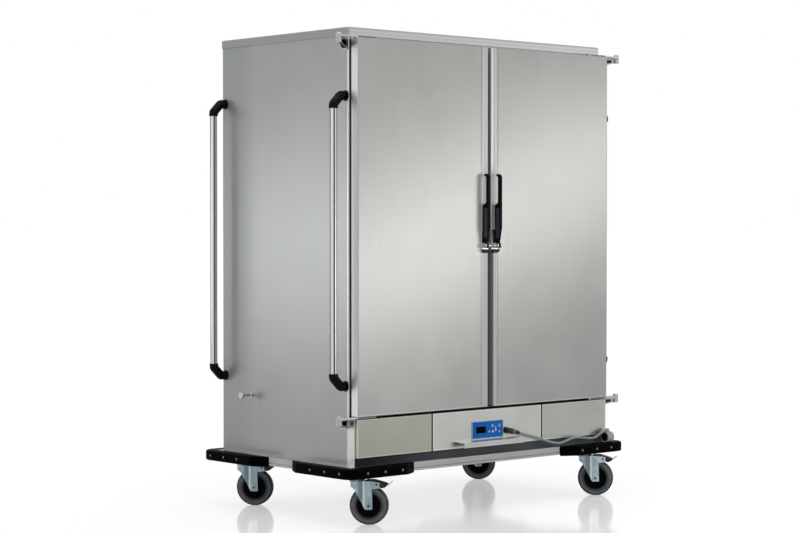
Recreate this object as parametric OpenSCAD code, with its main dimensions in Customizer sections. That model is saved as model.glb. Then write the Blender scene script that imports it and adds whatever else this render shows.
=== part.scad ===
// Enclosed, heated meal tray cart with two compartments side by side.
// Insulated stainless body on a chassis pan, two doors that fold back 270 degrees, a pull-out heating
// module under the compartments, four push handles, corner bumpers and four braked swivel casters.
// Millimetres. Origin on the floor under the middle of the cart, +Z up, doors facing -Y.

/* [Body] */
// Width over the two side walls
body_w = 1160; // [1120:10:1240]
// Depth from the body's front plane to its back
body_d = 670; // [640:10:720]
// Thickness of the insulated side and back walls
wall_t = 27; // [24:1:32]
// Thickness of the wall between the compartments
centre_t = 36; // [32:1:44]
// Thickness of the insulated compartment floor
floor_t = 32; // [28:1:38]
// Thickness of the insulated ceiling below the top cover
ceiling_t = 34; // [28:1:40]
// Height of the top cover's edge
cap_h = 27; // [20:1:34]
// Overhang of the top cover past the walls
cap_over = 3; // [1:1:6]
// Radius of the walls' outer vertical edges
edge_r = 4; // [2:0.5:8]

/* [Doors] */
// Height of a door
door_h = 1205; // [1100:5:1300]
// Thickness of a door without its seal
door_t = 34; // [30:1:38]
// Gap between the two closed doors
door_split = 13.5; // [12:0.5:16]
// Width of the raised strip along a door's free edge
strip_w = 32; // [30:1:40]
// Depth of the groove beside that strip
groove_d = 1.5; // [1:0.25:3]
// Thickness of the door seal
gasket_t = 11.7; // [10:0.1:13]
// Width of the door seal against side wall, ceiling and floor
gasket_w = 18; // [14:1:20]
// How far a door's inner pan reaches into the compartment
pan_in = 16; // [10:1:24]
// Clearance round the inner pan
pan_gap = 5; // [4:0.5:8]

/* [Hinges] */
// Distance of the hinge axis outside the side wall
hinge_out = 65; // [62:1:72]
// Thickness of a hinge arm
arm_t = 5.5; // [4:0.5:6]
// Length of a hinge arm on the door
arm_len = 84; // [60:2:120]
// Diameter of the hinge pin
pin_d = 10; // [8:0.5:12]
// Outer diameter of a hinge bush
bush_d = 19; // [17:0.5:22]
// Length of a hinge bush
bush_h = 7; // [6.5:0.5:12]
// Height of a hinge bracket on the side wall
bracket_h = 36; // [32:1:60]
// Length of a hinge bracket along the side wall
bracket_l = 32; // [28:1:54]

/* [Latches] */
// Distance of a latch lever from the middle of the cart
latch_x = 28; // [26:0.5:32]
// Height of the latch pivot above the door's lower edge
latch_up = 542; // [400:2:600]
// Length of a latch lever above its pivot
lever_h = 240; // [200:5:270]
// Width of a latch lever
lever_w = 10; // [8:0.5:12]
// How far a latch lever stands out from the door
lever_out = 26.5; // [24:0.5:28]
// Finger gap behind the lever's grip
finger_gap = 17; // [15:0.5:18]
// Height of the finger gap
finger_h = 97; // [80:1:110]
// Diameter of the latch shaft
shaft_d = 8; // [6:0.5:9]

/* [Lower front] */
// Height of the recess between the chassis and the lower panels
plinth_h = 29; // [24:1:36]
// Height of the lower panels
lower_h = 124; // [118:1:140]
// How far the lower panels stand out from the body
lower_out = 40.5; // [38:0.5:44]
// Gap between the lower panels and the doors
sill_gap = 7; // [6.5:0.5:10]
// Gap between the doors and the top cover
head_gap = 9; // [8:0.5:14]
// Thickness of the lower panels' sheet
sheet_t = 1.5; // [1:0.25:2]

/* [Heating module] */
// Width of the module's front
module_w = 511; // [490:1:530]
// Gap on each side of the module's front
module_gap = 1.5; // [1:0.25:3]
// Depth of the module's housing
housing_d = 400; // [380:10:440]
// Width of the module's housing
housing_w = 470; // [450:2:474]
// Height of the module's housing
housing_h = 112; // [104:1:114]
// Distance of the blower's axis behind the housing's front
fan_in = 190; // [160:2:220]
// Diameter of the blower wheel
fan_d = 170; // [150:2:180]
// Height of the blower wheel
fan_h = 46; // [36:1:52]
// Number of blower blades
fan_blades = 28; // [20:1:34]
// Diameter of the tubular heater
heater_d = 8; // [6.5:0.5:10]
// Turns of the tubular heater
heater_turns = 3; // [2:1:3]
// Width of the grip ledge under the control panel
ledge_w = 300; // [260:5:320]
// How far the grip ledge stands out
ledge_out = 32; // [26:1:34]
// Height of the grip ledge's front lip
ledge_lip = 17; // [12:1:20]
// Width of the control panel
control_w = 146; // [130:1:160]
// Height of the control panel
control_h = 59; // [52:1:60]

/* [Power lead] */
// Diameter of the power lead
cord_d = 8; // [7:0.5:9]
// Diameter of the plug
plug_d = 37; // [35:0.5:39]
// Length of the plug
plug_l = 36; // [32:1:40]

/* [Tray runners] */
// Runners above each other on each wall
runner_levels = 10; // [6:1:10]
// Distance from one runner to the next
runner_pitch = 110; // [90:5:112]
// Height of the lowest runner above the compartment floor
runner_start = 46; // [40:2:70]
// Width of a runner's ledge
runner_w = 14; // [12:1:18]
// Height of a runner's web
runner_web = 12; // [10:1:16]

/* [Push handles] */
// Diameter of a handle tube
tube_d = 24; // [22:0.5:26]
// Diameter of a handle elbow
elbow_d = 30; // [28:0.5:31]
// Distance of a handle tube from the side wall
tube_out = 50; // [46:1:54]
// Bend radius of a handle elbow
elbow_r = 22; // [19:0.5:24]
// Height of the handles' lower fixing above the floor
handle_z0 = 457; // [440:1:600]
// Distance between a handle's two fixings
handle_len = 907; // [700:1:920]
// Inset of the handles from the body's front and back
handle_in = 16; // [16:1:24]

/* [Door stops] */
// Diameter of a door stop's head
stop_head_d = 25; // [20:1:30]
// Diameter of a door stop's stem
stop_stem_d = 9; // [8:0.5:12]
// Height of the door stops above the floor
stop_z = 388; // [380:2:420]
// Distance of the door stops behind the body's front plane
stop_back = 508; // [400:4:540]

/* [Chassis] */
// Height of the chassis edge
rim_h = 28; // [24:1:34]
// How far the chassis stands out at each side
rim_side = 29; // [26:1:34]
// How far the chassis stands out in front
rim_front = 45; // [44:1:50]
// How far the chassis stands out behind
rim_back = 3; // [2:1:8]
// Thickness of the chassis sheet
pan_t = 3; // [2:0.5:4]
// Thickness of the corner bumpers
bumper_t = 36; // [30:1:36]
// Height of the corner bumpers
bumper_h = 34; // [32:1:38]
// Length of a bumper arm along the front or back
bumper_lx = 266; // [262:1:300]
// Length of a bumper arm along a side
bumper_ly = 294; // [270:1:300]
// Length of the slope at a bumper arm's end
bumper_taper = 60; // [40:1:62]
// Outer corner radius of a bumper
bumper_r = 42; // [42:1:48]
// Distance between bumper screws
screw_pitch = 74; // [60:1:76]
// Inset of the first screw from the chassis corner, along the front and back
screw_in_x = 41; // [30:1:42]
// Inset of the first screw from the chassis corner, along the sides
screw_in_y = 16; // [14:1:30]

/* [Casters] */
// Wheel diameter
wheel_d = 125; // [120:1:126]
// Tyre width
tyre_w = 32; // [28:1:34]
// Diameter of the wheel centre
hub_d = 80; // [70:1:86]
// Height from the floor to the top of the caster plate
caster_h = 162; // [160:1:166]
// Distance from the swivel axis to the wheel axle
trail = 38; // [34:1:40]
// Distance from the chassis' side edge to a swivel axis
caster_in_x = 77.5; // [75:0.5:100]
// Distance from the chassis' front or back edge to a swivel axis
caster_in_y = 59; // [52:1:80]
// Width of a caster's top plate
plate_w = 105; // [96:1:112]
// Depth of a caster's top plate
plate_d = 85; // [80:1:90]
// Spacing of the plate's bolts across the cart
plate_bolts_x = 80; // [72:1:84]
// Spacing of the plate's bolts along the cart's depth
plate_bolts_y = 60; // [54:1:64]
// Heading of the wheels, as the cart was last rolled
heading = -48; // [-70:1:-30]
// Diameter of the wheel axle
axle_d = 10; // [8:0.5:12]

/* [Hidden] */

$fn = 48;

// Clearances
seat = 0.3;         // between pieces that rest against each other but move apart
run = 0.05;         // radial, between a shaft and its bore
e = 0.01;           // overlap that makes a union or a cut clean

// Levels from the floor up
deck_z = caster_h + rim_h;
panel_z0 = deck_z + plinth_h;
panel_z1 = panel_z0 + lower_h;
floor_z = panel_z1 + floor_t;
door_z0 = panel_z1 + sill_gap;
door_z1 = door_z0 + door_h;
cap_z = door_z1 + head_gap;
ceiling_z = cap_z - ceiling_t;
top_z = cap_z + cap_h;

// Planes from side to side and from front to back
half_w = body_w / 2;
rim_hw = half_w + rim_side;
rim_hd = (body_d + rim_front + rim_back) / 2;
rim_r = bumper_r - bumper_t;
caster_dx = 2 * (rim_hw - caster_in_x);
caster_dy = 2 * (rim_hd - caster_in_y);
front_y = rim_front - rim_hd;
back_y = front_y + body_d;
inner_x = half_w - wall_t;
inner_y = back_y - wall_t;
door_back_y = front_y - gasket_t - seat;
door_front_y = door_back_y - door_t;
door_edge_x = door_split / 2;
panel_y = front_y - lower_out;
hinge_x = half_w + hinge_out;
hinge_y = door_back_y - door_t / 2;

// Latch
latch_z = door_z0 + latch_up;
latch_axis_out = 13;
latch_y = door_front_y - latch_axis_out;
boss_r = shaft_d / 2 + 4.5;
claw_w = 3.5;
claw_gap = 1;
claw_x = door_edge_x - claw_gap - claw_w;
bar_d = 6;
bar_y = front_y - 16;

// Heating module
housing_z = panel_z0 + 3;
housing_y0 = panel_y + 12;
fan_y = housing_y0 + fan_in;
fan_z = housing_z + 34;
control_x = -4.5;
control_z = panel_z0 + 54.5;
foil_t = 2;
ledge_z = control_z - control_h / 2 - 2;
gland_x = 81;
gland_z = panel_z0 + 47;
gland_y = panel_y - 13.5;
gland_tilt = 13;

// Casters
wheel_z = wheel_d / 2;
plate_t = 3.5;
bolt_d = 8;
crown_z = caster_h - 24;
crown_t = 3;
race_r = 26;
race_h = 8.7;
leg_in = tyre_w / 2 + 3.5;
leg_t = 2.5;
leg_out = leg_in + leg_t;
kingpin_d = 12;
pedal_x = 64;
pedal_z = crown_z - 8;

STEEL = [0.78, 0.78, 0.76];
BRIGHT = [0.86, 0.87, 0.88];
BLACK = [0.07, 0.07, 0.08];
ZINC = [0.66, 0.72, 0.76];
GREY_RUBBER = [0.36, 0.38, 0.40];

// ---------- shared forms ----------

// Rectangle with rounded corners, lying in the XY plane with its corner at the origin
module soft_rect(w, h, r) {
    translate([r, 0]) square([w - 2 * r, h]);
    translate([0, r]) square([w, h - 2 * r]);
    for (x = [r, w - r], y = [r, h - r]) translate([x, y]) circle(r);
}

// A prism seen from the front: its outline is drawn in X and Z, and it reaches from y0 back to y1
module from_front(y0, y1) {
    translate([0, y1, 0]) rotate([90, 0, 0]) linear_extrude(y1 - y0) children();
}

// A prism seen from the side: its outline is drawn in Y and Z, and it reaches from x0 to x1
module from_side(x0, x1) {
    translate([x0, 0, 0]) rotate([90, 0, 90]) linear_extrude(x1 - x0) children();
}

module on_side(s) {
    if (s > 0) mirror([1, 0, 0]) children();
    else children();
}

// ---------- chassis ----------

module chassis_pan() color(STEEL) {
    rail_w = plate_d + 11;
    difference() {
        union() {
            difference() {
                translate([-rim_hw, -rim_hd, caster_h]) linear_extrude(rim_h)
                    soft_rect(2 * rim_hw, 2 * rim_hd, rim_r);
                translate([pan_t - rim_hw, pan_t - rim_hd, caster_h - e])
                    linear_extrude(rim_h - pan_t + e)
                        soft_rect(2 * (rim_hw - pan_t), 2 * (rim_hd - pan_t), rim_r - pan_t);
            }
            for (y = [-1, 1] * caster_dy / 2)
                translate([-rim_hw + rim_r, y - rail_w / 2, caster_h])
                    cube([2 * (rim_hw - rim_r), rail_w, rim_h - pan_t / 2]);
            for (x = [-1, 1] * caster_dx / 4)
                translate([x - 30, -rim_hd + pan_t / 2, caster_h])
                    cube([60, 2 * rim_hd - pan_t, rim_h - pan_t / 2]);
        }
        for (sx = [-1, 1], sy = [-1, 1]) at_caster_bolts(sx, sy)
            translate([0, 0, caster_h - e]) cylinder(h = rim_h + 2 * e, r = bolt_d / 2 + 0.2);
    }
    // runners that carry the heating module
    for (s = [-1, 1]) translate([s * (housing_w / 2 - 15) - 8, panel_y + 30, deck_z - e])
        cube([16, housing_d, housing_z - seat - deck_z + e]);
}

module bumper_section(w) {
    r = 6;
    // w is measured outwards from the inner face; outer edges are rounded
    square([w - r, bumper_h]);
    translate([0, r]) square([w, bumper_h - 2 * r]);
    for (z = [r, bumper_h - r]) translate([w - r, z]) circle(r);
}

bumper_z = caster_h - 5;
bumper_cx = rim_hw + bumper_t - bumper_r;
bumper_cy = rim_hd + bumper_t - bumper_r;

// One bumper at the corner x > 0, y > 0
module bumper() {
    difference() {
        union() {
            translate([bumper_cx, bumper_cy, bumper_z]) rotate_extrude(angle = 90)
                translate([rim_r, 0]) bumper_section(bumper_t);
            translate([rim_hw - bumper_lx, rim_hd, bumper_z]) rotate([90, 0, 90])
                linear_extrude(bumper_cx - rim_hw + bumper_lx) bumper_section(bumper_t);
            translate([rim_hw, bumper_cy, bumper_z]) rotate([90, 0, 0])
                linear_extrude(bumper_cy - rim_hd + bumper_ly) bumper_section(bumper_t);
        }
        bumper_end_cut(rim_hw - bumper_lx, rim_hd, false);
        bumper_end_cut(rim_hw, rim_hd - bumper_ly, true);
        bumper_screw_places() {
            translate([0, 0, -bumper_t]) cylinder(h = bumper_t + 1, d = 5.2);
            translate([0, 0, -3]) cylinder(h = 4, d = 9);
        }
    }
}

// Slopes an arm's end down to a blunt edge
module bumper_end_cut(x, y, along_y) {
    blunt = 3;
    slope = bumper_taper / (bumper_t - blunt);
    translate([x, y, bumper_z - 1]) linear_extrude(bumper_h + 2)
        if (along_y) polygon([[blunt - 4 / slope, -4], [bumper_t + 1, -4], [bumper_t + 1, bumper_taper + slope]]);
        else polygon([[-4, blunt - 4 / slope], [bumper_taper + slope, bumper_t + 1], [-4, bumper_t + 1]]);
}

// Local +Z points out of the bumper at each screw
module bumper_screw_places() {
    z = bumper_z + bumper_h / 2;
    for (i = [0:2]) {
        next = i * screw_pitch;
        translate([rim_hw - screw_in_x - next, rim_hd + bumper_t, z]) rotate([-90, 0, 0]) children();
        translate([rim_hw + bumper_t, rim_hd - screw_in_y - next, z]) rotate([0, 90, 0]) children();
    }
}

module at_corners() {
    for (mx = [0, 1], my = [0, 1]) mirror([mx, 0, 0]) mirror([0, my, 0]) children();
}

module corner_bumpers() color(BLACK) at_corners() bumper();

module bumper_screws() color(BRIGHT) at_corners() bumper_screw_places() {
    translate([0, 0, -bumper_t + 1]) cylinder(h = bumper_t - 3.5, d = 4.9);
    translate([0, 0, -3]) cylinder(h = 2, d = 8.4);
    translate([0, 0, -1.2]) intersection() {
        translate([0, 0, -12]) sphere(r = 13.6);
        cylinder(h = 2, d = 8.4);
    }
}

// Two upright cheeks beside the lower panels and the recessed strip between them
module lower_frame() color(STEEL) {
    cheek_y = panel_y + 12.5;
    for (s = [-1, 1]) on_side(s) difference() {
        translate([-half_w, cheek_y, deck_z]) linear_extrude(panel_z1 - deck_z)
            soft_rect(wall_t, front_y - cheek_y, 1.5);
        translate([-half_w - 1, cheek_y + 10, deck_z + 22]) rotate([0, 90, 0]) cylinder(h = 2.2, d = 8.4);
    }
    translate([-inner_x, cheek_y + 4, deck_z]) cube([2 * inner_x, 6, plinth_h]);
}

// ---------- insulated body ----------

module side_wall(s) color(STEEL) on_side(s) translate([0, 0, deck_z]) linear_extrude(cap_z - deck_z) {
    translate([-half_w, front_y]) soft_rect(wall_t, body_d, edge_r);
    translate([-half_w + edge_r, front_y]) square([wall_t - edge_r, body_d]);
}

module back_wall() color(STEEL)
    translate([-inner_x, inner_y, deck_z]) cube([2 * inner_x, wall_t, cap_z - deck_z]);

module top_cover() color(STEEL) {
    bevel = 3;
    w = body_w + 2 * cap_over;
    d = body_d + 2 * cap_over;
    translate([-w / 2, front_y - cap_over, cap_z]) {
        linear_extrude(cap_h - bevel) soft_rect(w, d, edge_r + cap_over);
        translate([0, 0, cap_h - bevel - e]) hull() {
            linear_extrude(e) soft_rect(w, d, edge_r + cap_over, $fn = 24);
            translate([bevel, bevel, bevel]) linear_extrude(e)
                soft_rect(w - 2 * bevel, d - 2 * bevel, edge_r + cap_over, $fn = 24);
        }
    }
    translate([-inner_x, front_y, ceiling_z]) cube([2 * inner_x, inner_y - front_y, ceiling_t + e]);
}

// Insulated floor with a row of warm-air slots at the back and the front of each compartment
module compartment_floor() color(STEEL) {
    slot_l = 60;
    slot_w = 8;
    slots = 7;
    difference() {
        translate([-inner_x, front_y, panel_z1]) cube([2 * inner_x, inner_y - front_y, floor_t]);
        for (s = [-1, 1], y = [front_y + 130, inner_y - 90 - slot_l], i = [0:slots - 1])
            translate([s * (90 + i * 28) - slot_w / 2, y, panel_z1 - 1]) linear_extrude(floor_t + 2)
                soft_rect(slot_w, slot_l, slot_w / 2 - e);
    }
}

module centre_wall() color(STEEL)
    translate([-centre_t / 2, front_y, floor_z]) cube([centre_t, inner_y - front_y, ceiling_z - floor_z]);

// Pressed angle that carries one edge of a tray: ledge on top, web down, front corner rounded off
module runner(length) {
    t = 1.5;
    r = runner_w / 2 - 1;
    translate([0, 0, -t]) linear_extrude(t) {
        translate([0, r]) square([runner_w, length - r]);
        square([runner_w - r, length]);
        translate([runner_w - r, r]) circle(r);
    }
    translate([0, r, -runner_web]) cube([t, length - r, runner_web]);
    translate([0, r, -runner_web]) from_side(0, t) polygon([[e, 0], [e, runner_web], [-r, runner_web], [-r, 9]]);
}

module tray_runners() color(BRIGHT) for (s = [-1, 1]) on_side(s) {
    y0 = front_y + pan_in + 10;
    length = inner_y - y0 - 6;
    for (i = [0:runner_levels - 1]) translate([0, y0, floor_z + runner_start + i * runner_pitch]) {
        translate([-inner_x, 0, 0]) runner(length);
        translate([-centre_t / 2, 0, 0]) mirror([1, 0, 0]) runner(length);
    }
}

// Folded cover beside the heating module: thin front, inset returns behind it
module lower_panel(s) color(STEEL) on_side(s) {
    x1 = -module_w / 2 - module_gap;
    face_t = 3.5;
    inset = 4;
    depth = 12.2;
    translate([-half_w, 0, panel_z0]) {
        from_front(panel_y, panel_y + face_t) soft_rect(half_w + x1, lower_h, 1.5);
        difference() {
            translate([inset, panel_y + face_t - e, inset])
                cube([half_w + x1 - inset - 1, depth - face_t, lower_h - inset - 1]);
            translate([inset + sheet_t, panel_y + face_t, inset + sheet_t])
                cube([half_w + x1 - inset - 1 - 2 * sheet_t, depth, lower_h - inset - 1 - 2 * sheet_t]);
        }
    }
}

// ---------- door stops, latch keeper, hinge brackets ----------

module door_stops() color(BRIGHT) for (s = [-1, 1]) on_side(s)
    translate([-half_w, front_y + stop_back, stop_z]) rotate([0, -90, 0]) {
        reach = hinge_out - door_t / 2 - seat;
        cylinder(h = 3, d = stop_stem_d + 9);
        cylinder(h = reach, d = stop_stem_d);
        translate([0, 0, reach - 6]) cylinder(h = 4.5, d = stop_head_d);
        translate([0, 0, reach - 1.5]) cylinder(h = 1.5, d1 = stop_head_d, d2 = stop_head_d - 3);
    }

// Plate on the centre wall with a cross bar in the gap between the doors
module latch_keeper() color(BRIGHT) {
    w = 2 * door_edge_x - 2 * claw_gap;
    from_front(front_y - 3, front_y) translate([-w / 2, latch_z - 30]) soft_rect(w, 64, 3);
    translate([-1.25, bar_y - 2, latch_z - 14]) cube([2.5, front_y - bar_y - e, 20]);
    translate([-w / 2, bar_y, bar_z]) rotate([0, 90, 0]) cylinder(h = w, d = bar_d);
}

bar_z = latch_z - bar_d / 2;

// Origin on the hinge axis, at the level on which the door's arm runs
module hinge_bracket() {
    wall_x = hinge_out;
    reach_y = front_y - hinge_y;
    y0 = reach_y + 2;
    y1 = y0 + bracket_l;
    plate = 4;
    difference() {
        union() {
            translate([0, 0, -18]) cylinder(h = 18, d = bush_d);
            translate([0, 0, -plate]) linear_extrude(plate)
                polygon([[5, -7.5], [wall_x, y0], [wall_x, y1], [-7.5, 5]]);
            translate([wall_x - 4, y0, -bracket_h]) from_side(0, 4) soft_rect(bracket_l, bracket_h, 4);
            bracket_rib(wall_x, y0 + 4, plate, true);
            bracket_rib(wall_x, y1 - 5, plate, false);
        }
        translate([0, 0, -14]) cylinder(h = 15, d = pin_d + 2 * run);
    }
    translate([0, 0, -13.5]) cylinder(h = 13.5 + bush_h + seat + e, d = pin_d);
    translate([0, 0, bush_h + seat]) {
        cylinder(h = 2.5, d = bush_d - 1);
        translate([0, 0, 2.5]) cylinder(h = 2.5, d1 = bush_d - 1, d2 = bush_d - 6);
    }
}

// Upright web from the bush down to the foot of the bracket; the front one is a strut with an open field
module bracket_rib(x, y, plate, pierced) {
    angle = atan2(y, x);
    length = norm([x, y]);
    low = 3 - bracket_h;
    rotate([0, 0, angle]) translate([0, 1.5, 0]) rotate([90, 0, 0]) linear_extrude(3) difference() {
        polygon([[6, -plate + e], [length - 2, -plate + e], [length - 2, low], [6, -17]]);
        if (pierced) polygon([[bush_d / 2 + 8, -plate - 3], [length - 7, -plate - 3],
                              [length - 7, low + 7], [bush_d / 2 + 8, -15]]);
    }
}

module hinge_brackets(s) color(STEEL) on_side(s)
    for (z = [door_z0 - arm_t, door_z1]) translate([-hinge_x, hinge_y, z - seat]) hinge_bracket();

// ---------- push handles ----------

function handle_ys() = [front_y + handle_in, back_y - handle_in];
sleeve_l = 10;
socket_l = 12;

module handle_tubes() color(BRIGHT) for (s = [-1, 1], y = handle_ys()) on_side(s) {
    end = elbow_r + sleeve_l - socket_l + 0.2;
    translate([-half_w - tube_out, y, handle_z0 + end]) difference() {
        cylinder(h = handle_len - 2 * end, d = tube_d);
        translate([0, 0, -1]) cylinder(h = handle_len, d = tube_d - 3);
    }
}

// Origin on the wall at the fixing; the bend turns from local +X towards local +Z
module elbow() {
    arm = tube_out - elbow_r;
    difference() {
        union() {
            rotate([0, 90, 0]) cylinder(h = 3, d = elbow_d + 4);
            rotate([0, 90, 0]) cylinder(h = arm + e, d = elbow_d);
            translate([arm, 0, elbow_r]) rotate([90, 0, 0]) translate([0, 0, 0])
                rotate([0, 0, -90]) rotate_extrude(angle = 90) translate([elbow_r, 0]) circle(d = elbow_d);
            translate([tube_out, 0, elbow_r - e]) cylinder(h = sleeve_l + e, d = elbow_d);
        }
        translate([tube_out, 0, elbow_r + sleeve_l - socket_l])
            cylinder(h = socket_l + 1, d = tube_d + 2 * run);
    }
}

module handle_elbows() color(BLACK) for (s = [-1, 1], y = handle_ys()) on_side(s) {
    translate([-half_w, y, handle_z0]) mirror([1, 0, 0]) elbow();
    translate([-half_w, y, handle_z0 + handle_len]) mirror([1, 0, 0]) mirror([0, 0, 1]) elbow();
}

// ---------- doors ----------

module door_panel(s) color(STEEL) on_side(s) translate([0, 0, door_z0]) linear_extrude(door_h)
    difference() {
        translate([-half_w, door_front_y]) soft_rect(half_w - door_edge_x, door_t, 3);
        translate([-door_edge_x - strip_w, door_front_y]) rotate(45) square(groove_d * sqrt(2), center = true);
        translate([-door_edge_x - strip_w * 0.45, door_front_y])
            rotate(45) square(groove_d * sqrt(2) * 0.6, center = true);
    }

// Pressed pan on the inside of the door, with a shallow field
module door_inner(s) color(BRIGHT) on_side(s) {
    x0 = -inner_x + pan_gap;
    w = inner_x - centre_t / 2 - 2 * pan_gap;
    z0 = floor_z + pan_gap;
    h = ceiling_z - floor_z - 2 * pan_gap;
    margin = 50;
    difference() {
        from_front(door_back_y, front_y + pan_in) translate([x0, z0]) soft_rect(w, h, 12);
        from_front(front_y + pan_in - 3, front_y + pan_in + 1)
            translate([x0 + margin, z0 + margin]) soft_rect(w - 2 * margin, h - 2 * margin, 20);
    }
}

// Hollow-section seal that runs round the back of the door
module door_gasket(s) color(BLACK) on_side(s) {
    x0 = -half_w + edge_r;
    x1 = -door_edge_x - 1;
    z0 = door_z0 + 3;
    z1 = door_z1 - 3;
    post_w = centre_t / 2 - door_edge_x - 2;
    from_front(door_back_y, door_back_y + gasket_t) difference() {
        translate([x0, z0]) soft_rect(x1 - x0, z1 - z0, 3);
        translate([x0 + gasket_w, z0 + gasket_w])
            square([x1 - x0 - gasket_w - post_w, z1 - z0 - 2 * gasket_w]);
    }
}

// Arms on the top and bottom edges of the door, each with its bush on the hinge axis
module hinge_arms(s) color(BRIGHT) on_side(s) for (z = [door_z0 - arm_t, door_z1])
    translate([-hinge_x, hinge_y, z]) difference() {
        union() {
            cylinder(h = bush_h, d = bush_d);
            linear_extrude(arm_t) {
                translate([0, -bush_d / 2]) square([hinge_out + arm_len - 8, bush_d]);
                translate([hinge_out, -13]) soft_rect(arm_len, 26, 8);
            }
        }
        translate([0, 0, -1]) cylinder(h = bush_h + 2, d = pin_d + 2 * run);
    }

// Chromed plate on the door strip with two ears for the latch shaft and a rounded foot
module latch_base(s) color(BRIGHT) on_side(s) {
    in_x = door_edge_x + 1.5;
    out_x = latch_x + lever_w / 2 + seat;
    ear_t = 3.5;
    from_front(door_front_y - 2, door_front_y) translate([-out_x - ear_t, latch_z - 22])
        soft_rect(out_x + ear_t - in_x, 76, 3);
    for (x = [-out_x - ear_t, -latch_x + lever_w / 2 + seat]) difference() {
        from_side(x, x + ear_t) {
            translate([latch_y, latch_z]) circle(boss_r);
            translate([latch_y, latch_z - boss_r]) square([door_front_y - latch_y, 2 * boss_r]);
        }
        translate([x - 1, latch_y, latch_z]) rotate([0, 90, 0]) cylinder(h = ear_t + 2, d = shaft_d + 2 * run);
    }
    difference() {
        from_side(-out_x - ear_t, -in_x)
            polygon([[door_front_y - 1, latch_z - 12], [latch_y + 1, latch_z - 12],
                     [latch_y + 4, latch_z - 20], [door_front_y - 1, latch_z - 25]]);
        translate([-latch_x, latch_y, latch_z]) rotate([0, 90, 0])
            cylinder(h = lever_w + 2 * seat, r = boss_r + 1, center = true);
    }
}

// Lever with a free grip above and a solid block below, pinned to the latch shaft
module latch_lever(s) color(BLACK) on_side(s) {
    back = door_front_y - 2 - seat;
    front = door_front_y - lever_out;
    bar = lever_out - finger_gap;
    top = latch_z + lever_h;
    gap_z0 = top - 7 - finger_h;
    x0 = -latch_x - lever_w / 2;
    difference() {
        intersection() {
            union() {
                translate([x0, latch_y, latch_z]) rotate([0, 90, 0]) cylinder(h = lever_w, r = boss_r);
                from_side(x0, x0 + lever_w)
                    polygon([[latch_y - 3, latch_z + 6], [front, latch_z + 62], [front, top - 10],
                             [front + 4, top - 2], [front + 10, top], [back - 5, top], [back - 5, top - 7],
                             [front + bar + 5, top - 7], [front + bar, top - 12], [front + bar, gap_z0 + 8],
                             [back, gap_z0], [back, latch_z + 14], [latch_y + 6, latch_z + 3]]);
            }
            from_front(front - 1, back + 20) {
                translate([x0, latch_z - 20]) square([lever_w, lever_h + 20 - lever_w / 2]);
                translate([-latch_x, top - lever_w / 2]) circle(lever_w / 2);
            }
        }
        translate([x0 - 1, latch_y, latch_z]) rotate([0, 90, 0])
            cylinder(h = lever_w + 2, d = shaft_d + 2 * run);
    }
}

// Shaft with the claw that hooks behind the keeper bar; the drop of its tooth is what opening must lift
module latch_claw(s) color(BRIGHT) on_side(s) {
    length = latch_x + lever_w / 2 + 4 - claw_x;
    reach = bar_y - latch_y;
    hook = reach + bar_d / 2 + seat;
    tooth = bar_d / 2 + 0.2;
    translate([-claw_x - length, latch_y, latch_z]) rotate([0, 90, 0]) cylinder(h = length, d = shaft_d);
    from_side(-claw_x - claw_w, -claw_x) translate([latch_y, latch_z]) {
        circle(shaft_d / 2 + 1.5);
        polygon([[0, shaft_d / 2 + 1.4], [hook, 7.5], [hook + 6.5, 4], [hook + 6.5, 0.5],
                 [hook + 1.2, -tooth], [hook, -tooth], [hook, 0.5], [reach - bar_d / 2 - 2, 0.5],
                 [4, -4]]);
    }
}

// ---------- heating module ----------

// Front plate with the grip ledge bent out of it below the control panel
module module_front() color(STEEL) {
    t = 1.5;
    face_t = 3.5;
    difference() {
        union() {
            from_front(panel_y, panel_y + face_t)
                translate([-module_w / 2, panel_z0]) soft_rect(module_w, lower_h, 1.5);
            translate([-module_w / 2 + 4, panel_y + face_t - e, panel_z0 + 4])
                cube([module_w - 8, 8.5, lower_h - 8]);
            difference() {
                from_side(-ledge_w / 2, ledge_w / 2)
                    polygon([[panel_y + e, ledge_z], [panel_y - ledge_out, ledge_z - 3],
                             [panel_y - ledge_out, ledge_z - 3 - ledge_lip],
                             [panel_y - ledge_out + t, ledge_z - 3 - ledge_lip],
                             [panel_y - ledge_out + t, ledge_z - 3 - t], [panel_y + e, ledge_z - t]]);
                for (s = [-1, 1]) translate([s * ledge_w / 2, panel_y - ledge_out, 0])
                    rotate([0, 0, 45]) translate([-7, -7, ledge_z - 40]) cube([14, 14, 60]);
            }
        }
        translate([gland_x, panel_y - 1, gland_z]) rotate([-90, 0, 0]) cylinder(h = 16, d = 14.4);
    }
}

// Tray that carries the blower and the heater
module module_housing() color(ZINC) {
    t = 2;
    translate([-housing_w / 2, housing_y0, housing_z]) difference() {
        cube([housing_w, housing_d, housing_h]);
        translate([t, t, t]) cube([housing_w - 2 * t, housing_d - 2 * t, housing_h]);
    }
    // volute that guides the air out to both sides
    for (a = [0, 180]) translate([0, fan_y, housing_z + t - e]) rotate([0, 0, a])
        rotate_extrude(angle = 100) translate([fan_d / 2 + 46, 0]) square([2, fan_h + 30]);
}

module heater_element() color([0.45, 0.43, 0.42]) {
    r = fan_d / 2 + 22;
    pitch = heater_d + 5;
    for (i = [0:heater_turns - 1]) translate([0, fan_y, fan_z + i * pitch])
        rotate([0, 0, 18]) rotate_extrude(angle = 324) translate([r, 0]) circle(d = heater_d);
    for (a = [90, 210, 330]) rotate_about_fan(a) translate([r - 2, -4, housing_z + 2 + e])
        cube([4, 8, fan_z - housing_z - 2 + (heater_turns - 1) * pitch]);
}

module rotate_about_fan(a) translate([0, fan_y, 0]) rotate([0, 0, a]) children();

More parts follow.
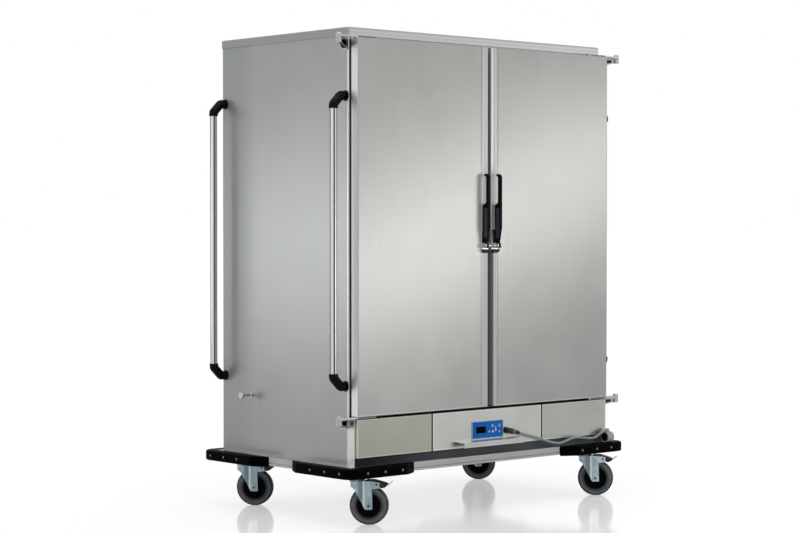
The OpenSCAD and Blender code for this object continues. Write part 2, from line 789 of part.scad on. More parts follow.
module blower_motor() color([0.55, 0.56, 0.58]) translate([0, fan_y, housing_z + 2]) {
    motor_h = fan_z - housing_z - 2 - 4;
    difference() {
        union() {
            cylinder(h = motor_h, d = 92);
            cylinder(h = 4, d = 110);
        }
        for (a = [0:30:330]) rotate([0, 0, a]) translate([46, 0, 8]) cylinder(h = motor_h, d = 6);
    }
    cylinder(h = motor_h + 4 + fan_h - 10, d = 10);
}

// Backward-curved wheel: base disc, hub, blades and a top ring
module blower_wheel() color(BRIGHT) translate([0, fan_y, fan_z]) {
    blade_in = fan_d * 0.35;
    difference() {
        union() {
            cylinder(h = 2, d = fan_d);
            cylinder(h = fan_h - 12, d = 26);
        }
        translate([0, 0, -1]) cylinder(h = fan_h, d = 10 + 2 * run);
    }
    for (i = [0:fan_blades - 1]) rotate([0, 0, i * 360 / fan_blades]) translate([blade_in, 0, 1]) blade();
    translate([0, 0, fan_h - 2]) difference() {
        cylinder(h = 2, d = fan_d);
        translate([0, 0, -1]) cylinder(h = 4, r = blade_in + 4);
    }
}

// Curved plate whose chord leans back from the radius
module blade() {
    lean = 30;
    chord = fan_d * 0.144;
    bend_r = fan_d * 0.19;
    half = asin(chord / 2 / bend_r);
    rotate([0, 0, -lean]) translate([chord / 2, -bend_r * cos(half), 0])
        rotate([0, 0, 90 - half]) rotate_extrude(angle = 2 * half)
            translate([bend_r - 1.4, 0]) square([1.4, fan_h - 2]);
}

// Membrane front with a sunk window; its keys are printed on the foil and have no travel
module control_panel() color([0.08, 0.33, 0.72]) {
    x0 = control_x - control_w / 2;
    z0 = control_z - control_h / 2;
    difference() {
        from_front(panel_y - foil_t, panel_y) translate([x0, z0]) soft_rect(control_w, control_h, 2);
        from_front(panel_y - foil_t - 1, panel_y - 1) translate(window_corner() - [0.2, 0.2])
            soft_rect(window_w + 0.4, window_h + 0.4, 1);
    }
}

window_w = 45;
window_h = 22;
function window_corner() = [control_x - control_w / 2 + 19, control_z - 11];

module display_window() color([0.03, 0.03, 0.04])
    from_front(panel_y - foil_t - 0.2, panel_y - 1 - e) translate(window_corner()) soft_rect(window_w, window_h, 0.8);

// Angled gland: base on the front plate, elbow, clamp nut and tapered strain relief
module cord_gland() color(BLACK) {
    translate([gland_x, panel_y + 12, gland_z]) rotate([90, 0, 0]) cylinder(h = 14, d = 14);
    translate([gland_x, panel_y, gland_z]) rotate([90, 0, 0]) cylinder(h = 4, d = 21);
    translate([gland_x, panel_y, gland_z]) rotate([90, 0, 0]) cylinder(h = panel_y - gland_y, d = 17);
    translate([gland_x, gland_y, gland_z]) {
        sphere(d = 17);
        rotate([0, 90 + gland_tilt, 0]) {
            cylinder(h = 16, d = 17);
            translate([0, 0, 16]) cylinder(h = 12, d = 20, $fn = 6);
            translate([0, 0, 28]) cylinder(h = gland_l - 28, d1 = 15, d2 = cord_d + 3);
        }
    }
}

gland_l = 52;

// ---------- power lead ----------

plug_x = 556;
plug_z = deck_z + 1 + seat + plug_d / 2;
plug_y = panel_y - 18;
lead_in_z = 232.5;
cord_start = [gland_x + gland_l * cos(gland_tilt), gland_y, gland_z - gland_l * sin(gland_tilt)];

// Points that the lead follows, from the gland to the plug
route = concat([cord_start], [
    [155, -369, 248], [190, -369.5, 239.5], [225, -370, 230], [255, -371, 220], [280, -372, 212.5],
    [303, -373, 207.5], [324, -374, 205.5], [344, -375, 208], [366, -375, 213.5], [385, -375, 217.8],
    [403, -375, 219.3], [421, -375, 218.4], [441, -374.5, 215.6], [465, -374, 212.4], [488, -373.5, 210.6],
    [503, -373, 211.6], [517, -372.5, 216], [529, -372.5, 222], [541, -372.5, 228], [553, -372.5, 231.6],
    [566, plug_y, lead_in_z]
]);

function unit(v) = v / norm(v);
function along(p, i) = unit(p[min(i + 1, len(p) - 1)] - p[max(i - 1, 0)]);
function ring(p, i, r, n) =
    let (t = along(p, i), u = unit(cross([0, 1, 0], t)), v = cross(t, u))
    [for (k = [0:n - 1]) p[i] + r * (cos(360 * k / n) * u + sin(360 * k / n) * v)];

// Smooth points between the route's own
function curve(p, steps) = concat([for (i = [0:len(p) - 2], k = [0:steps - 1])
    let (a = p[max(i - 1, 0)], b = p[i], c = p[i + 1], d = p[min(i + 2, len(p) - 1)], t = k / steps)
    0.5 * (2 * b + (c - a) * t + (2 * a - 5 * b + 4 * c - d) * t * t + (3 * b - a - 3 * c + d) * t * t * t)],
    [p[len(p) - 1]]);

module tube_along(p, r, n) {
    last = len(p) - 1;
    polyhedron(
        points = [for (i = [0:last]) each ring(p, i, r, n)],
        faces = concat(
            [[for (k = [0:n - 1]) n - 1 - k]],
            [for (i = [0:last - 1], k = [0:n - 1])
                each [[i * n + k, i * n + (k + 1) % n, (i + 1) * n + (k + 1) % n],
                      [i * n + k, (i + 1) * n + (k + 1) % n, (i + 1) * n + k]]],
            [[for (k = [0:n - 1]) last * n + k]]));
}

module power_cord() color([0.62, 0.66, 0.70]) tube_along(curve(route, 3), cord_d / 2, 10);

// Round earthed plug lying on its side, hollow contact end towards -X, lead entering from the side
module power_plug() color([0.60, 0.64, 0.68]) {
    stub_z = lead_in_z - plug_z;
    translate([plug_x, plug_y, plug_z]) {
        difference() {
            union() {
                rotate([0, 90, 0]) cylinder(h = plug_l - 6, d = plug_d);
                translate([plug_l - 6, 0, 0]) rotate([0, 90, 0]) cylinder(h = 6, d1 = plug_d, d2 = plug_d - 10);
                translate([14, 0, 0]) cylinder(h = stub_z + 6, d = 15);
                translate([14, 0, stub_z]) rotate([0, -90, 0]) cylinder(h = 4, d = 14);
                translate([14, 0, stub_z]) sphere(d = 15);
            }
            translate([-1, 0, 0]) rotate([0, 90, 0]) cylinder(h = 15, d = plug_d - 7);
            // mouth that the lead goes into
            translate([-1, 0, stub_z]) rotate([0, 90, 0]) cylinder(h = 11.6, d = cord_d + 1.2);
        }
        for (y = [-9.5, 9.5]) translate([-5, y, 0]) rotate([0, 90, 0]) cylinder(h = 20, d = 4.8);
        for (z = [-1, 1]) translate([2, -3, z * 13.5 - 1]) cube([13, 6, 2]);
    }
}

// ---------- casters ----------

// Places children at the swivel axis of one caster, turned to its heading
module at_caster(sx, sy) translate([sx * caster_dx / 2, sy * caster_dy / 2, 0]) rotate([0, 0, heading]) children();

module at_caster_bolts(sx, sy) translate([sx * caster_dx / 2, sy * caster_dy / 2, 0])
    for (x = [-1, 1] * plate_bolts_x / 2, y = [-1, 1] * plate_bolts_y / 2) translate([x, y, 0]) children();

// Top plate, bearing cup, kingpin and four bolts at each corner
module caster_plates() color(ZINC) for (sx = [-1, 1], sy = [-1, 1]) {
    cup_z = crown_z + crown_t + race_h;
    translate([sx * caster_dx / 2, sy * caster_dy / 2, 0]) {
        difference() {
            translate([-plate_w / 2, -plate_d / 2, caster_h - plate_t]) linear_extrude(plate_t - e)
                soft_rect(plate_w, plate_d, 8);
            for (x = [-1, 1] * plate_bolts_x / 2, y = [-1, 1] * plate_bolts_y / 2)
                translate([x, y, caster_h - plate_t - 1]) cylinder(h = plate_t + 2, r = bolt_d / 2 + 0.2);
        }
        translate([0, 0, cup_z + seat]) cylinder(h = caster_h - plate_t - cup_z - seat + e, r1 = race_r + 2, r2 = race_r + 6);
        translate([0, 0, crown_z - 3 - seat]) {
            cylinder(h = caster_h - crown_z, d = kingpin_d);
            cylinder(h = 3, d = kingpin_d + 10);
        }
    }
    at_caster_bolts(sx, sy) {
        translate([0, 0, caster_h - plate_t - 5]) cylinder(h = 5, d = 13, $fn = 6);
        translate([0, 0, caster_h - plate_t - e]) cylinder(h = plate_t + rim_h - 1, d = bolt_d);
    }
}

// Pressed fork: crown disc, race, two slanted legs and the axle bolt with its nut
module fork() {
    difference() {
        union() {
            translate([0, 0, crown_z]) linear_extrude(crown_t) {
                circle(race_r);
                translate([0, -leg_out]) square([50, 2 * leg_out]);
            }
            translate([0, 0, crown_z + crown_t - e]) cylinder(h = race_h + e, r1 = race_r - 3, r2 = race_r);
            for (s = [-1, 1]) leg(s);
        }
        translate([0, 0, crown_z - 1]) cylinder(h = 20, d = kingpin_d + 2 * run);
        translate([trail, 0, wheel_z]) rotate([90, 0, 0]) cylinder(h = 80, d = axle_d + 2 * run, center = true);
        translate([pedal_x, 0, pedal_z]) rotate([90, 0, 0]) cylinder(h = 80, d = 6 + 2 * run, center = true);
    }
    translate([trail, 0, wheel_z]) rotate([90, 0, 0]) {
        cylinder(h = 2 * leg_out + 12, d = axle_d, center = true);
        translate([0, 0, leg_out]) cylinder(h = 5, d = 16, $fn = 6);
        translate([0, 0, -leg_out - 6]) cylinder(h = 6, d = 17, $fn = 6);
    }
}

module leg(s) {
    foot = 13;
    skirt = crown_z - 20;
    y0 = s > 0 ? leg_in : -leg_out;
    from_front(y0, y0 + leg_t) {
        polygon([[trail - foot + 3, wheel_z - foot], [trail - foot, wheel_z - foot + 3], [-8, skirt - 4],
                 [-20, skirt + 6], [-20, crown_z + crown_t], [50, crown_z + crown_t], [74, pedal_z + 7],
                 [72, skirt], [trail + 11, skirt - 2], [trail + foot, wheel_z - foot + 3],
                 [trail + foot - 3, wheel_z - foot]]);
    }
    // stiffening bead pressed along the leg
    translate([0, s * leg_out, 0]) from_front(-0.6, 0.6)
        polygon([[trail - 5, wheel_z + 18], [8, skirt], [13, skirt], [trail - 1, wheel_z + 18]]);
}

// Grey rubber ring with rounded shoulders
module tyre() translate([trail, 0, wheel_z]) rotate([90, 0, 0]) rotate_extrude($fn = 96) {
    r = wheel_d / 2;
    w = tyre_w / 2;
    shoulder = 7;
    difference() {
        union() {
            translate([hub_d / 2, -w]) square([r - shoulder - hub_d / 2, 2 * w]);
            translate([hub_d / 2, shoulder - w]) square([r - hub_d / 2, 2 * (w - shoulder)]);
            for (s = [-1, 1]) translate([r - shoulder, s * (w - shoulder)]) circle(shoulder, $fn = 48);
        }
        for (s = [-1, 1]) translate([hub_d / 2 + 7, s * (w + 5.2)]) circle(6, $fn = 48);
    }
}

// Moulded wheel centre: rim, web, ribs on both faces and bored boss
module wheel_hub() translate([trail, 0, wheel_z]) rotate([90, 0, 0]) {
    rim_t = 6;
    rim_half = tyre_w / 2 - 1.5;
    boss = leg_in - 0.5;
    difference() {
        union() {
            rotate_extrude($fn = 96) {
                translate([hub_d / 2 - rim_t, -rim_half]) square([rim_t, 2 * rim_half]);
                translate([axle_d / 2 + 1, -4]) square([hub_d / 2 - axle_d / 2 - 3, 8]);
                translate([axle_d / 2 + 0.5, -boss]) square([9, 2 * boss]);
            }
            for (a = [0:45:315]) rotate([0, 0, a])
                translate([10, -1.5, 1 - rim_half]) cube([hub_d / 2 - rim_t - 8, 3, 2 * rim_half - 2]);
        }
        cylinder(h = 3 * boss, d = axle_d + 2 * run, center = true);
    }
}

// Moulded brake pedal on its pin, with a steel release tab at the tip
module brake_pedal() {
    half = leg_in - 0.6;
    translate([0, 0, pedal_z]) {
        color(BLACK) difference() {
            union() {
                from_front(-half, half) polygon([
                    [30, 11.5], [30, 14], [56, 14], [76, 8.5], [97, 1.5], [98, -2.5], [90, -9], [80, -11.5],
                    [68, -6], [60, -6], [54, 8], [52, 11.5]]);
                translate([pedal_x, 0, 0]) rotate([90, 0, 0]) cylinder(h = 2 * half, r = 6.5, center = true);
                from_front(-half - 3, half + 3) polygon([[77, 8], [97, 1.5], [98, -2.5], [90, -9], [80, -6]]);
            }
            translate([pedal_x, 0, 0]) rotate([90, 0, 0]) cylinder(h = 60, d = 6.02, center = true);
        }
        color(BRIGHT) from_front(-9, 9)
            polygon([[94, -1], [100, -3], [114, 8.6], [112.4, 10.2], [99.4, -0.6], [95, 1]]);
        color(ZINC) translate([pedal_x, 0, 0]) rotate([90, 0, 0]) cylinder(h = 2 * leg_out + 1, d = 6, center = true);
    }
}

// ---------- placing ----------

chassis_pan();
corner_bumpers();
bumper_screws();
lower_frame();
side_wall(-1);  // side_wall_left
side_wall(1);  // side_wall_right
back_wall();
top_cover();
compartment_floor();
centre_wall();
tray_runners();
lower_panel(-1);  // lower_panel_left
lower_panel(1);  // lower_panel_right
latch_keeper();
door_stops();
hinge_brackets(-1);  // hinge_brackets_left
hinge_brackets(1);  // hinge_brackets_right
handle_tubes();
handle_elbows();

door_panel(-1);  // door_panel_left
door_inner(-1);  // door_inner_left
door_gasket(-1);  // door_gasket_left
hinge_arms(-1);  // hinge_arms_left
latch_base(-1);  // latch_base_left
latch_lever(-1);  // latch_lever_left
latch_claw(-1);  // latch_claw_left
door_panel(1);  // door_panel_right
door_inner(1);  // door_inner_right
door_gasket(1);  // door_gasket_right
hinge_arms(1);  // hinge_arms_right
latch_base(1);  // latch_base_right
latch_lever(1);  // latch_lever_right
latch_claw(1);  // latch_claw_right

module_front();
module_housing();
heater_element();
blower_motor();
blower_wheel();
control_panel();
display_window();
cord_gland();
power_cord();
power_plug();

caster_plates();
color(ZINC) at_caster(-1, -1) fork();  // fork_front_left
color(GREY_RUBBER) at_caster(-1, -1) tyre();  // tyre_front_left
color(BLACK) at_caster(-1, -1) wheel_hub();  // wheel_hub_front_left
at_caster(-1, -1) brake_pedal();  // brake_pedal_front_left
color(ZINC) at_caster(1, -1) fork();  // fork_front_right
color(GREY_RUBBER) at_caster(1, -1) tyre();  // tyre_front_right
color(BLACK) at_caster(1, -1) wheel_hub();  // wheel_hub_front_right
at_caster(1, -1) brake_pedal();  // brake_pedal_front_right
color(ZINC) at_caster(-1, 1) fork();  // fork_rear_left
color(GREY_RUBBER) at_caster(-1, 1) tyre();  // tyre_rear_left
color(BLACK) at_caster(-1, 1) wheel_hub();  // wheel_hub_rear_left
at_caster(-1, 1) brake_pedal();  // brake_pedal_rear_left
color(ZINC) at_caster(1, 1) fork();  // fork_rear_right
color(GREY_RUBBER) at_caster(1, 1) tyre();  // tyre_rear_right
color(BLACK) at_caster(1, 1) wheel_hub();  // wheel_hub_rear_right
at_caster(1, 1) brake_pedal();  // brake_pedal_rear_right
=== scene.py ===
import math

import bmesh
import bpy
from mathutils import Matrix, Vector


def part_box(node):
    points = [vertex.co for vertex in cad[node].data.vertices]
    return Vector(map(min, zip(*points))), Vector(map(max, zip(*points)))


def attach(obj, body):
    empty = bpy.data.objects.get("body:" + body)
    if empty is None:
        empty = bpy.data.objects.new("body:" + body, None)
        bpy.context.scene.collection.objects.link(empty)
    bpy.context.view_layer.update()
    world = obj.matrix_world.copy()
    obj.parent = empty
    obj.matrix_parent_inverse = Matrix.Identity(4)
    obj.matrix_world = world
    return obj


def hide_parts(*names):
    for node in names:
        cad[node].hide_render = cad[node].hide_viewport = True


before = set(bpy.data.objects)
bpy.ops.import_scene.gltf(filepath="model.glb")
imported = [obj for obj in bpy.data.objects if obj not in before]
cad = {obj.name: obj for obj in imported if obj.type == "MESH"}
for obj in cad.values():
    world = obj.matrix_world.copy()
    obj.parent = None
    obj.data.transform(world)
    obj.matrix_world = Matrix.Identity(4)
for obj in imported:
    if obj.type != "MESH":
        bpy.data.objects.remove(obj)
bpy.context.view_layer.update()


# ---------------------------------------------------------------- camera
# The camera stands left of the doors at chest height, on a long lens, and looks along the
# diagonal of the cart.
camera = bpy.data.objects.new("camera", bpy.data.cameras.new("camera"))
bpy.context.scene.collection.objects.link(camera)
bpy.context.scene.camera = camera
camera.location = (-4.7147, -5.2149, 0.9644)
camera.rotation_euler = (math.radians(90 - 1.211), 0, math.radians(-41.613))
camera.data.sensor_width = 36.0
camera.data.lens = 90.62
camera.data.clip_end = 500.0
bpy.context.scene.view_settings.view_transform = "Standard"


# ---------------------------------------------------------------- power lead
# Grey rubber-sheathed lead, 8 mm thick and rather stiff. It hangs from the gland to the end of
# the corner bumper, rises over a hump and enters the plug that lies on the bumper from above.
class Shade:
    """A socket of a material's tree. Sums and products of it add their Math nodes."""

    def __init__(self, tree, socket):
        self.tree, self.socket = tree, socket

    def node(self, kind, settings, sockets, out=0):
        made = self.tree.nodes.new("ShaderNode" + kind)
        for key, value in settings.items():
            setattr(made, key, value)
        for key, value in sockets.items():
            if isinstance(value, Shade):
                self.tree.links.new(value.socket, made.inputs[key])
            else:
                made.inputs[key].default_value = value
        return Shade(self.tree, made.outputs[out]) if made.outputs else None

    def math(self, operation, *others):
        return self.node("Math", {"operation": operation}, dict(enumerate((self, *others))))

    def __add__(self, other):
        return self.math("ADD", other)

    def __sub__(self, other):
        return self.math("SUBTRACT", other)

    def __rsub__(self, other):
        return (self * -1) + other

    def __mul__(self, other):
        return self.math("MULTIPLY", other)

    __radd__, __rmul__ = __add__, __mul__

    def __abs__(self):
        return self.math("ABSOLUTE")

    def most(self, other):
        return self.math("MAXIMUM", other)

    def least(self, other):
        return self.math("MINIMUM", other)

    def axis(self, index):
        return self.node("SeparateXYZ", {}, {0: self}, index)

    def ease(self, low, high):
        """0 below low, 1 above high."""
        return self.node("MapRange", {"interpolation_type": "SMOOTHSTEP"},
                         {"Value": self, "From Min": low, "From Max": high})

    def band(self, low, risen, falling, high):
        """1 from risen to falling, 0 below low and above high."""
        return self.ease(low, risen) * (1 - self.ease(falling, high))

    def tone(self, low, high):
        """From one colour to another as the value goes from 0 to 1."""
        low, high = (c if isinstance(c, Shade) else (*c[:3], 1) for c in (low, high))
        return self.node("Mix", {"data_type": "RGBA"}, {0: self, 6: low, 7: high}, 2)

    def relief(self, strength, depth, soft=None):
        """The value as a fine unevenness, on edges that are eased over the soft radius."""
        sockets = {"Strength": strength, "Distance": depth, "Height": self}
        if soft:
            sockets["Normal"] = self.node("Bevel", {"samples": 4}, {"Radius": soft})
        return self.node("Bump", {}, sockets)


def finish(name, recipe):
    """A material. Its recipe gets the place on the object and returns the shader's values."""
    material = bpy.data.materials.new(name)
    material.use_nodes = True
    tree = material.node_tree
    tree.nodes.clear()
    spot = Shade(tree, tree.nodes.new("ShaderNodeTexCoord").outputs["Object"])
    shader = spot.node("BsdfPrincipled", {}, recipe(spot))
    spot.node("OutputMaterial", {}, {"Surface": shader})
    return material


def grey(value):
    return (value, value, value, 1)


def noise(spot, scale, detail=2.0, stretch=(1, 1, 1)):
    placed = spot.node("Mapping", {}, {"Vector": spot, "Scale": stretch})
    return spot.node("TexNoise", {}, {"Vector": placed, "Scale": scale, "Detail": detail})


def dress(material, *names):
    for name in names:
        for slot in cad[name].material_slots:
            slot.material = material


def sheath(spot):
    dust = noise(spot, 60.0, 4.0)
    return {"Base Color": dust.ease(0.35, 0.75).tone((0.330, 0.370, 0.400), (0.460, 0.490, 0.515)),
            "Roughness": 0.46 + dust * 0.16,
            "Normal": noise(spot, 900.0).relief(0.12, 0.001)}


LEAD_DIAMETER = 0.008
GLAND_KNEE = (0.081, -0.368, 0.266)
GLAND_REACH = 0.052
GLAND_TILT = math.radians(13)
LEAD_EXIT = Vector((GLAND_KNEE[0] + GLAND_REACH * math.cos(GLAND_TILT), GLAND_KNEE[1],
                    GLAND_KNEE[2] - GLAND_REACH * math.sin(GLAND_TILT)))
KNOTS_MM = (
    (155, -369, 248), (190, -369.5, 239.5), (225, -370, 230), (255, -371, 220),
    (280, -372, 212.5), (303, -373, 207.5), (324, -374, 205.5), (344, -375, 208),
    (366, -375, 213.5), (385, -375, 217.8), (403, -375, 219.3), (421, -375, 218.4),
    (441, -374.5, 215.6), (465, -374, 212.4), (488, -373.5, 210.6), (503, -373, 211.6),
    (517, -372.5, 216), (529, -372.5, 222), (541, -372.5, 228), (553, -372.5, 231.6),
    (566, -372.5, 232.5))
STEPS_PER_KNOT = 4

# A smooth curve through the knots, each stretch fitted to the knots on both sides of it.
knots = [LEAD_EXIT] + [Vector(knot) / 1000 for knot in KNOTS_MM]
lead_points = []
for i in range(len(knots) - 1):
    a, b, c, d = (knots[min(max(i + k, 0), len(knots) - 1)] for k in (-1, 0, 1, 2))
    for step in range(STEPS_PER_KNOT):
        t = step / STEPS_PER_KNOT
        lead_points.append(0.5 * (2 * b + (c - a) * t + (2 * a - 5 * b + 4 * c - d) * t * t
                                  + (3 * b - a - 3 * c + d) * t ** 3))
lead_points.append(knots[-1])
lead_length = sum((q - p).length for p, q in zip(lead_points, lead_points[1:]))

lead_line = bpy.data.curves.new("power_lead", "CURVE")
lead_line.dimensions = "3D"
lead_line.bevel_depth = LEAD_DIAMETER / 2
lead_line.bevel_resolution = 5
lead_line.use_fill_caps = True
spline = lead_line.splines.new("POLY")
spline.points.add(len(lead_points) - 1)
for knot, point in zip(spline.points, lead_points):
    knot.co = (*point, 1)
spline.use_smooth = True
lead = bpy.data.objects.new("power_lead", lead_line)
bpy.context.scene.collection.objects.link(lead)
lead_line.materials.append(finish("lead_sheath", sheath))
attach(lead, "heating_module")
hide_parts("power_cord")


# ---------------------------------------------------------------- floor and light
# A white studio floor that keeps the cart's soft shadow, an even white room, and three soft
# lamps: a tall one that crosses the doors slantwise, one for the left side, one overhead.
FLOOR_GLOW = 0.42
ROOM_LIGHT = 0.45
ROOM_IN_MIRROR = 0.75


def plain_mesh(name, bm, material, smooth=False):
    mesh = bpy.data.meshes.new(name)
    bm.normal_update()
    bm.to_mesh(mesh)
    bm.free()
    mesh.materials.append(material)
    for face in mesh.polygons:
        face.use_smooth = smooth
    thing = bpy.data.objects.new(name, mesh)
    bpy.context.scene.collection.objects.link(thing)
    return thing


def ray_kinds(tree, *kinds):
    path = tree.nodes.new("ShaderNodeLightPath")
    return [Shade(tree, path.outputs[kind]) for kind in kinds]


floor_finish = bpy.data.materials.new("studio_floor")
floor_finish.use_nodes = True
floor_finish.node_tree.nodes.clear()
seen, = ray_kinds(floor_finish.node_tree, "Is Camera Ray")
matte = seen.node("BsdfPrincipled", {}, {"Base Color": grey(0.82), "Roughness": 0.10,
                                         "Specular IOR Level": 0.5})
glow = seen.node("Emission", {}, {"Color": grey(1.0), "Strength": seen * FLOOR_GLOW})
seen.node("OutputMaterial", {}, {"Surface": seen.node("AddShader", {}, {0: matte, 1: glow})})
ground = bmesh.new()
bmesh.ops.create_grid(ground, x_segments=1, y_segments=1, size=200.0)
plain_mesh("studio_floor", ground, floor_finish)

world = bpy.data.worlds.new("studio")
world.use_nodes = True
world.node_tree.nodes.clear()
bpy.context.scene.world = world
seen, mirrored, passed = ray_kinds(world.node_tree, "Is Camera Ray", "Is Glossy Ray",
                                   "Is Transmission Ray")
room = seen.node("Background", {}, {"Color": grey(1.0), "Strength": ROOM_LIGHT})
white = seen.node("Background", {}, {"Color": grey(1.0),
                                     "Strength": seen.most(mirrored * ROOM_IN_MIRROR).most(passed)})
shown = seen.most(mirrored).most(passed)
seen.node("OutputWorld", {}, {"Surface": seen.node("MixShader", {}, {0: shown, 1: room, 2: white})})


def lamp(name, place, aim, size, watts, roll=0.0):
    light = bpy.data.lights.new(name, "AREA")
    light.shape = "RECTANGLE"
    light.size, light.size_y = size
    light.energy = watts
    thing = bpy.data.objects.new(name, light)
    bpy.context.scene.collection.objects.link(thing)
    away = (Vector(place) - Vector(aim)).to_track_quat("Z", "Y")
    thing.matrix_world = Matrix.LocRotScale(place, away, None) @ Matrix.Rotation(roll, 4, "Z")
    thing.visible_camera = False


lamp("door_lamp", (2.17, -2.6, 1.03), (2.17, 0.0, 1.03), (3.0, 0.52), 10.4, math.radians(19))
lamp("side_lamp", (-3.0, 2.6, 0.86), (-0.58, 2.6, 0.86), (1.7, 0.85), 8.6)
lamp("top_lamp", (-0.6, -0.8, 4.2), (0.0, 0.0, 1.0), (3.0, 3.0), 25)


# ---------------------------------------------------------------- chassis
# Folded stainless pan under the body, its edge a bright flat band all round, with cross-members
# for the casters.
LENGTHWAYS, UPRIGHT = 0, 2
PAN_CREASE = 0.170


def shaded(tint, factor):
    return tuple(min(1.0, part * factor) for part in tint)


def brushed(tint, rough, along):
    """Ground sheet: fine lines along one axis and cloudy patches where the belt pressed harder."""
    def recipe(spot):
        fine = [700.0, 700.0, 700.0]
        fine[along] = 5.0
        lines = noise(spot, 1.0, 3.0, fine)
        cloud = noise(spot, 2.4, 3.0)
        smear = noise(spot, 9.0, 4.0)
        mix = (lines * 0.35 + cloud * 0.4 + smear * 0.25).ease(0.30, 0.72)
        return {"Base Color": mix.tone(shaded(tint, 0.90), shaded(tint, 1.06)),
                "Metallic": 1.0,
                "Roughness": rough - 0.05 + smear * 0.07 + cloud * 0.05,
                "Normal": lines.relief(0.05, 0.0004, soft=0.0012)}
    return recipe


def folded_pan(spot):
    """Ground like the rest, with painted shade along the crease where the lower third of the edge
    is set back.
    """
    values = brushed((0.475, 0.48, 0.465), 0.34, LENGTHWAYS)(spot)
    # Painted shade: a dark line along the crease.
    crease_shade = spot.axis(2).band(PAN_CREASE - 0.0012, PAN_CREASE, PAN_CREASE + 0.0012,
                               PAN_CREASE + 0.0024)
    values["Base Color"] = crease_shade.tone(values["Base Color"], grey(0.20))
    return values


dress(finish("chassis_steel", folded_pan), "chassis_pan")


# ---------------------------------------------------------------- bumpers
# Moulded black rubber corners, scuffed to grey along their outer edges, each held by six steel
# screws in counterbores.
def black_rubber(spot):
    scuff = noise(spot, 28.0, 6.0, (1, 1, 3)).ease(0.56, 0.74)
    return {"Base Color": (scuff * 0.5).tone((0.0007, 0.0007, 0.0014), (0.007, 0.007, 0.009)),
            "Roughness": 0.50 + scuff * 0.2, "Specular IOR Level": 0.025,
            "Normal": noise(spot, 1400.0).relief(0.08, 0.0005, soft=0.002)}


def turned_steel(tint, rough):
    def recipe(spot):
        wear = noise(spot, 120.0, 3.0)
        return {"Base Color": wear.tone(shaded(tint, 0.86), tint), "Metallic": 1.0,
                "Roughness": rough + wear * 0.1}
    return recipe


dress(finish("bumper_rubber", black_rubber), "corner_bumpers")
dress(finish("screw_steel", turned_steel((0.21, 0.21, 0.22), 0.34)), "bumper_screws")


# ---------------------------------------------------------------- casters
# Bluish zinc-plated forks and plates, grey rubber tyres on black moulded centres, black brake
# pedals with a bright steel tab. All four trail to the same side.
CASTERS = {"front_left": (-0.5315, -0.3), "front_right": (0.5315, -0.3),
           "rear_left": (-0.5315, 0.3), "rear_right": (0.5315, 0.3)}
HEADING = math.radians(-48)
TRAIL = 0.038
AXLE_HEIGHT = 0.0625
# Bands of painted shade and highlight on the fork legs, and painted shade in the bolt socket.
LEG_HOLLOW_SHADE = (0.000, 0.006, 0.0180, 0.0205)
LEG_FOLD_HIGHLIGHT = (0.0185, 0.0205, 0.0245, 0.0275)
BOLT_SOCKET_SHADE = (0.0034, 0.0038)
# The painted highlight ring on the tyres' sides.
TYRE_RING_HIGHLIGHT = (0.0435, 0.0500, 0.0540, 0.0600)
PEDAL_TAB = (0.0975, 0.0985)
PEDAL_PIN_END = (0.0226, 0.0228)


def from_swivel(spot, centre):
    """Distances ahead of a caster's swivel axis and aside of its wheel's plane."""
    x, y = spot.axis(0) - centre[0], spot.axis(1) - centre[1]
    return (x * math.cos(HEADING) + y * math.sin(HEADING),
            y * math.cos(HEADING) - x * math.sin(HEADING))


def from_axle(spot, centre):
    ahead, z = from_swivel(spot, centre)[0] - TRAIL, spot.axis(2) - AXLE_HEIGHT
    return (ahead * ahead + z * z).math("SQRT")


def zinc_plate(spot):
    spangle = noise(spot, 55.0, 3.0)
    streak = noise(spot, 14.0, 4.0, (1, 1, 0.25))
    mix = (spangle * 0.5 + streak * 0.5).ease(0.35, 0.68)
    return {"Base Color": mix.tone((0.37, 0.505, 0.56), (0.77, 0.905, 0.95)),
            "Metallic": 0.85, "Roughness": 0.29 + spangle * 0.12,
            "Normal": streak.relief(0.06, 0.0006, soft=0.0009)}


def fork_zinc(centre):
    """Plated like the plates, with painted shade in the hollow of the leg, a painted
    highlight along its fold and black painted shade in the bolt's hexagon socket."""
    def recipe(spot):
        values = zinc_plate(spot)
        ahead = from_swivel(spot, centre)[0]
        # Painted shade in the hollow of the leg, then a painted highlight along its fold.
        lit_and_shaded_plate = (ahead.band(*LEG_HOLLOW_SHADE) * 0.62).tone(values["Base Color"], (0.13, 0.19, 0.225))
        lit_and_shaded_plate = (ahead.band(*LEG_FOLD_HIGHLIGHT) * 0.85).tone(lit_and_shaded_plate, (0.93, 0.98, 1.0))
        # Painted shade: the bolt's hexagon socket is painted black.
        socket = 1 - from_axle(spot, centre).ease(*BOLT_SOCKET_SHADE)
        values["Base Color"] = socket.tone(lit_and_shaded_plate, (0.01, 0.01, 0.012))
        return values
    return recipe


def tyre_rubber(centre):
    """Grey rubber with a painted highlight on the raised ring of its side; darker on the
    shoulder and by the rim.
    """
    def recipe(spot):
        dust = noise(spot, 26.0, 5.0)
        pale = dust.ease(0.3, 0.75)
        shoulder = pale.tone((0.056, 0.064, 0.075), (0.088, 0.098, 0.110))
        ring_highlight = pale.tone((0.160, 0.180, 0.195), (0.245, 0.270, 0.290))
        # Painted highlight on the ring of the tyre's side.
        return {"Base Color": from_axle(spot, centre).band(*TYRE_RING_HIGHLIGHT).tone(shoulder, ring_highlight),
                "Roughness": 0.52 + dust * 0.2, "Specular IOR Level": 0.4,
                "Normal": noise(spot, 900.0).relief(0.10, 0.0005)}
    return recipe


def moulded_black(spot):
    dust = noise(spot, 45.0, 5.0)
    return {"Base Color": dust.ease(0.4, 0.8).tone((0.0016, 0.0017, 0.0026), (0.006, 0.006, 0.008)),
            "Roughness": 0.38 + dust * 0.2, "Specular IOR Level": 0.07,
            "Normal": noise(spot, 1600.0).relief(0.10, 0.0003, soft=0.0008)}


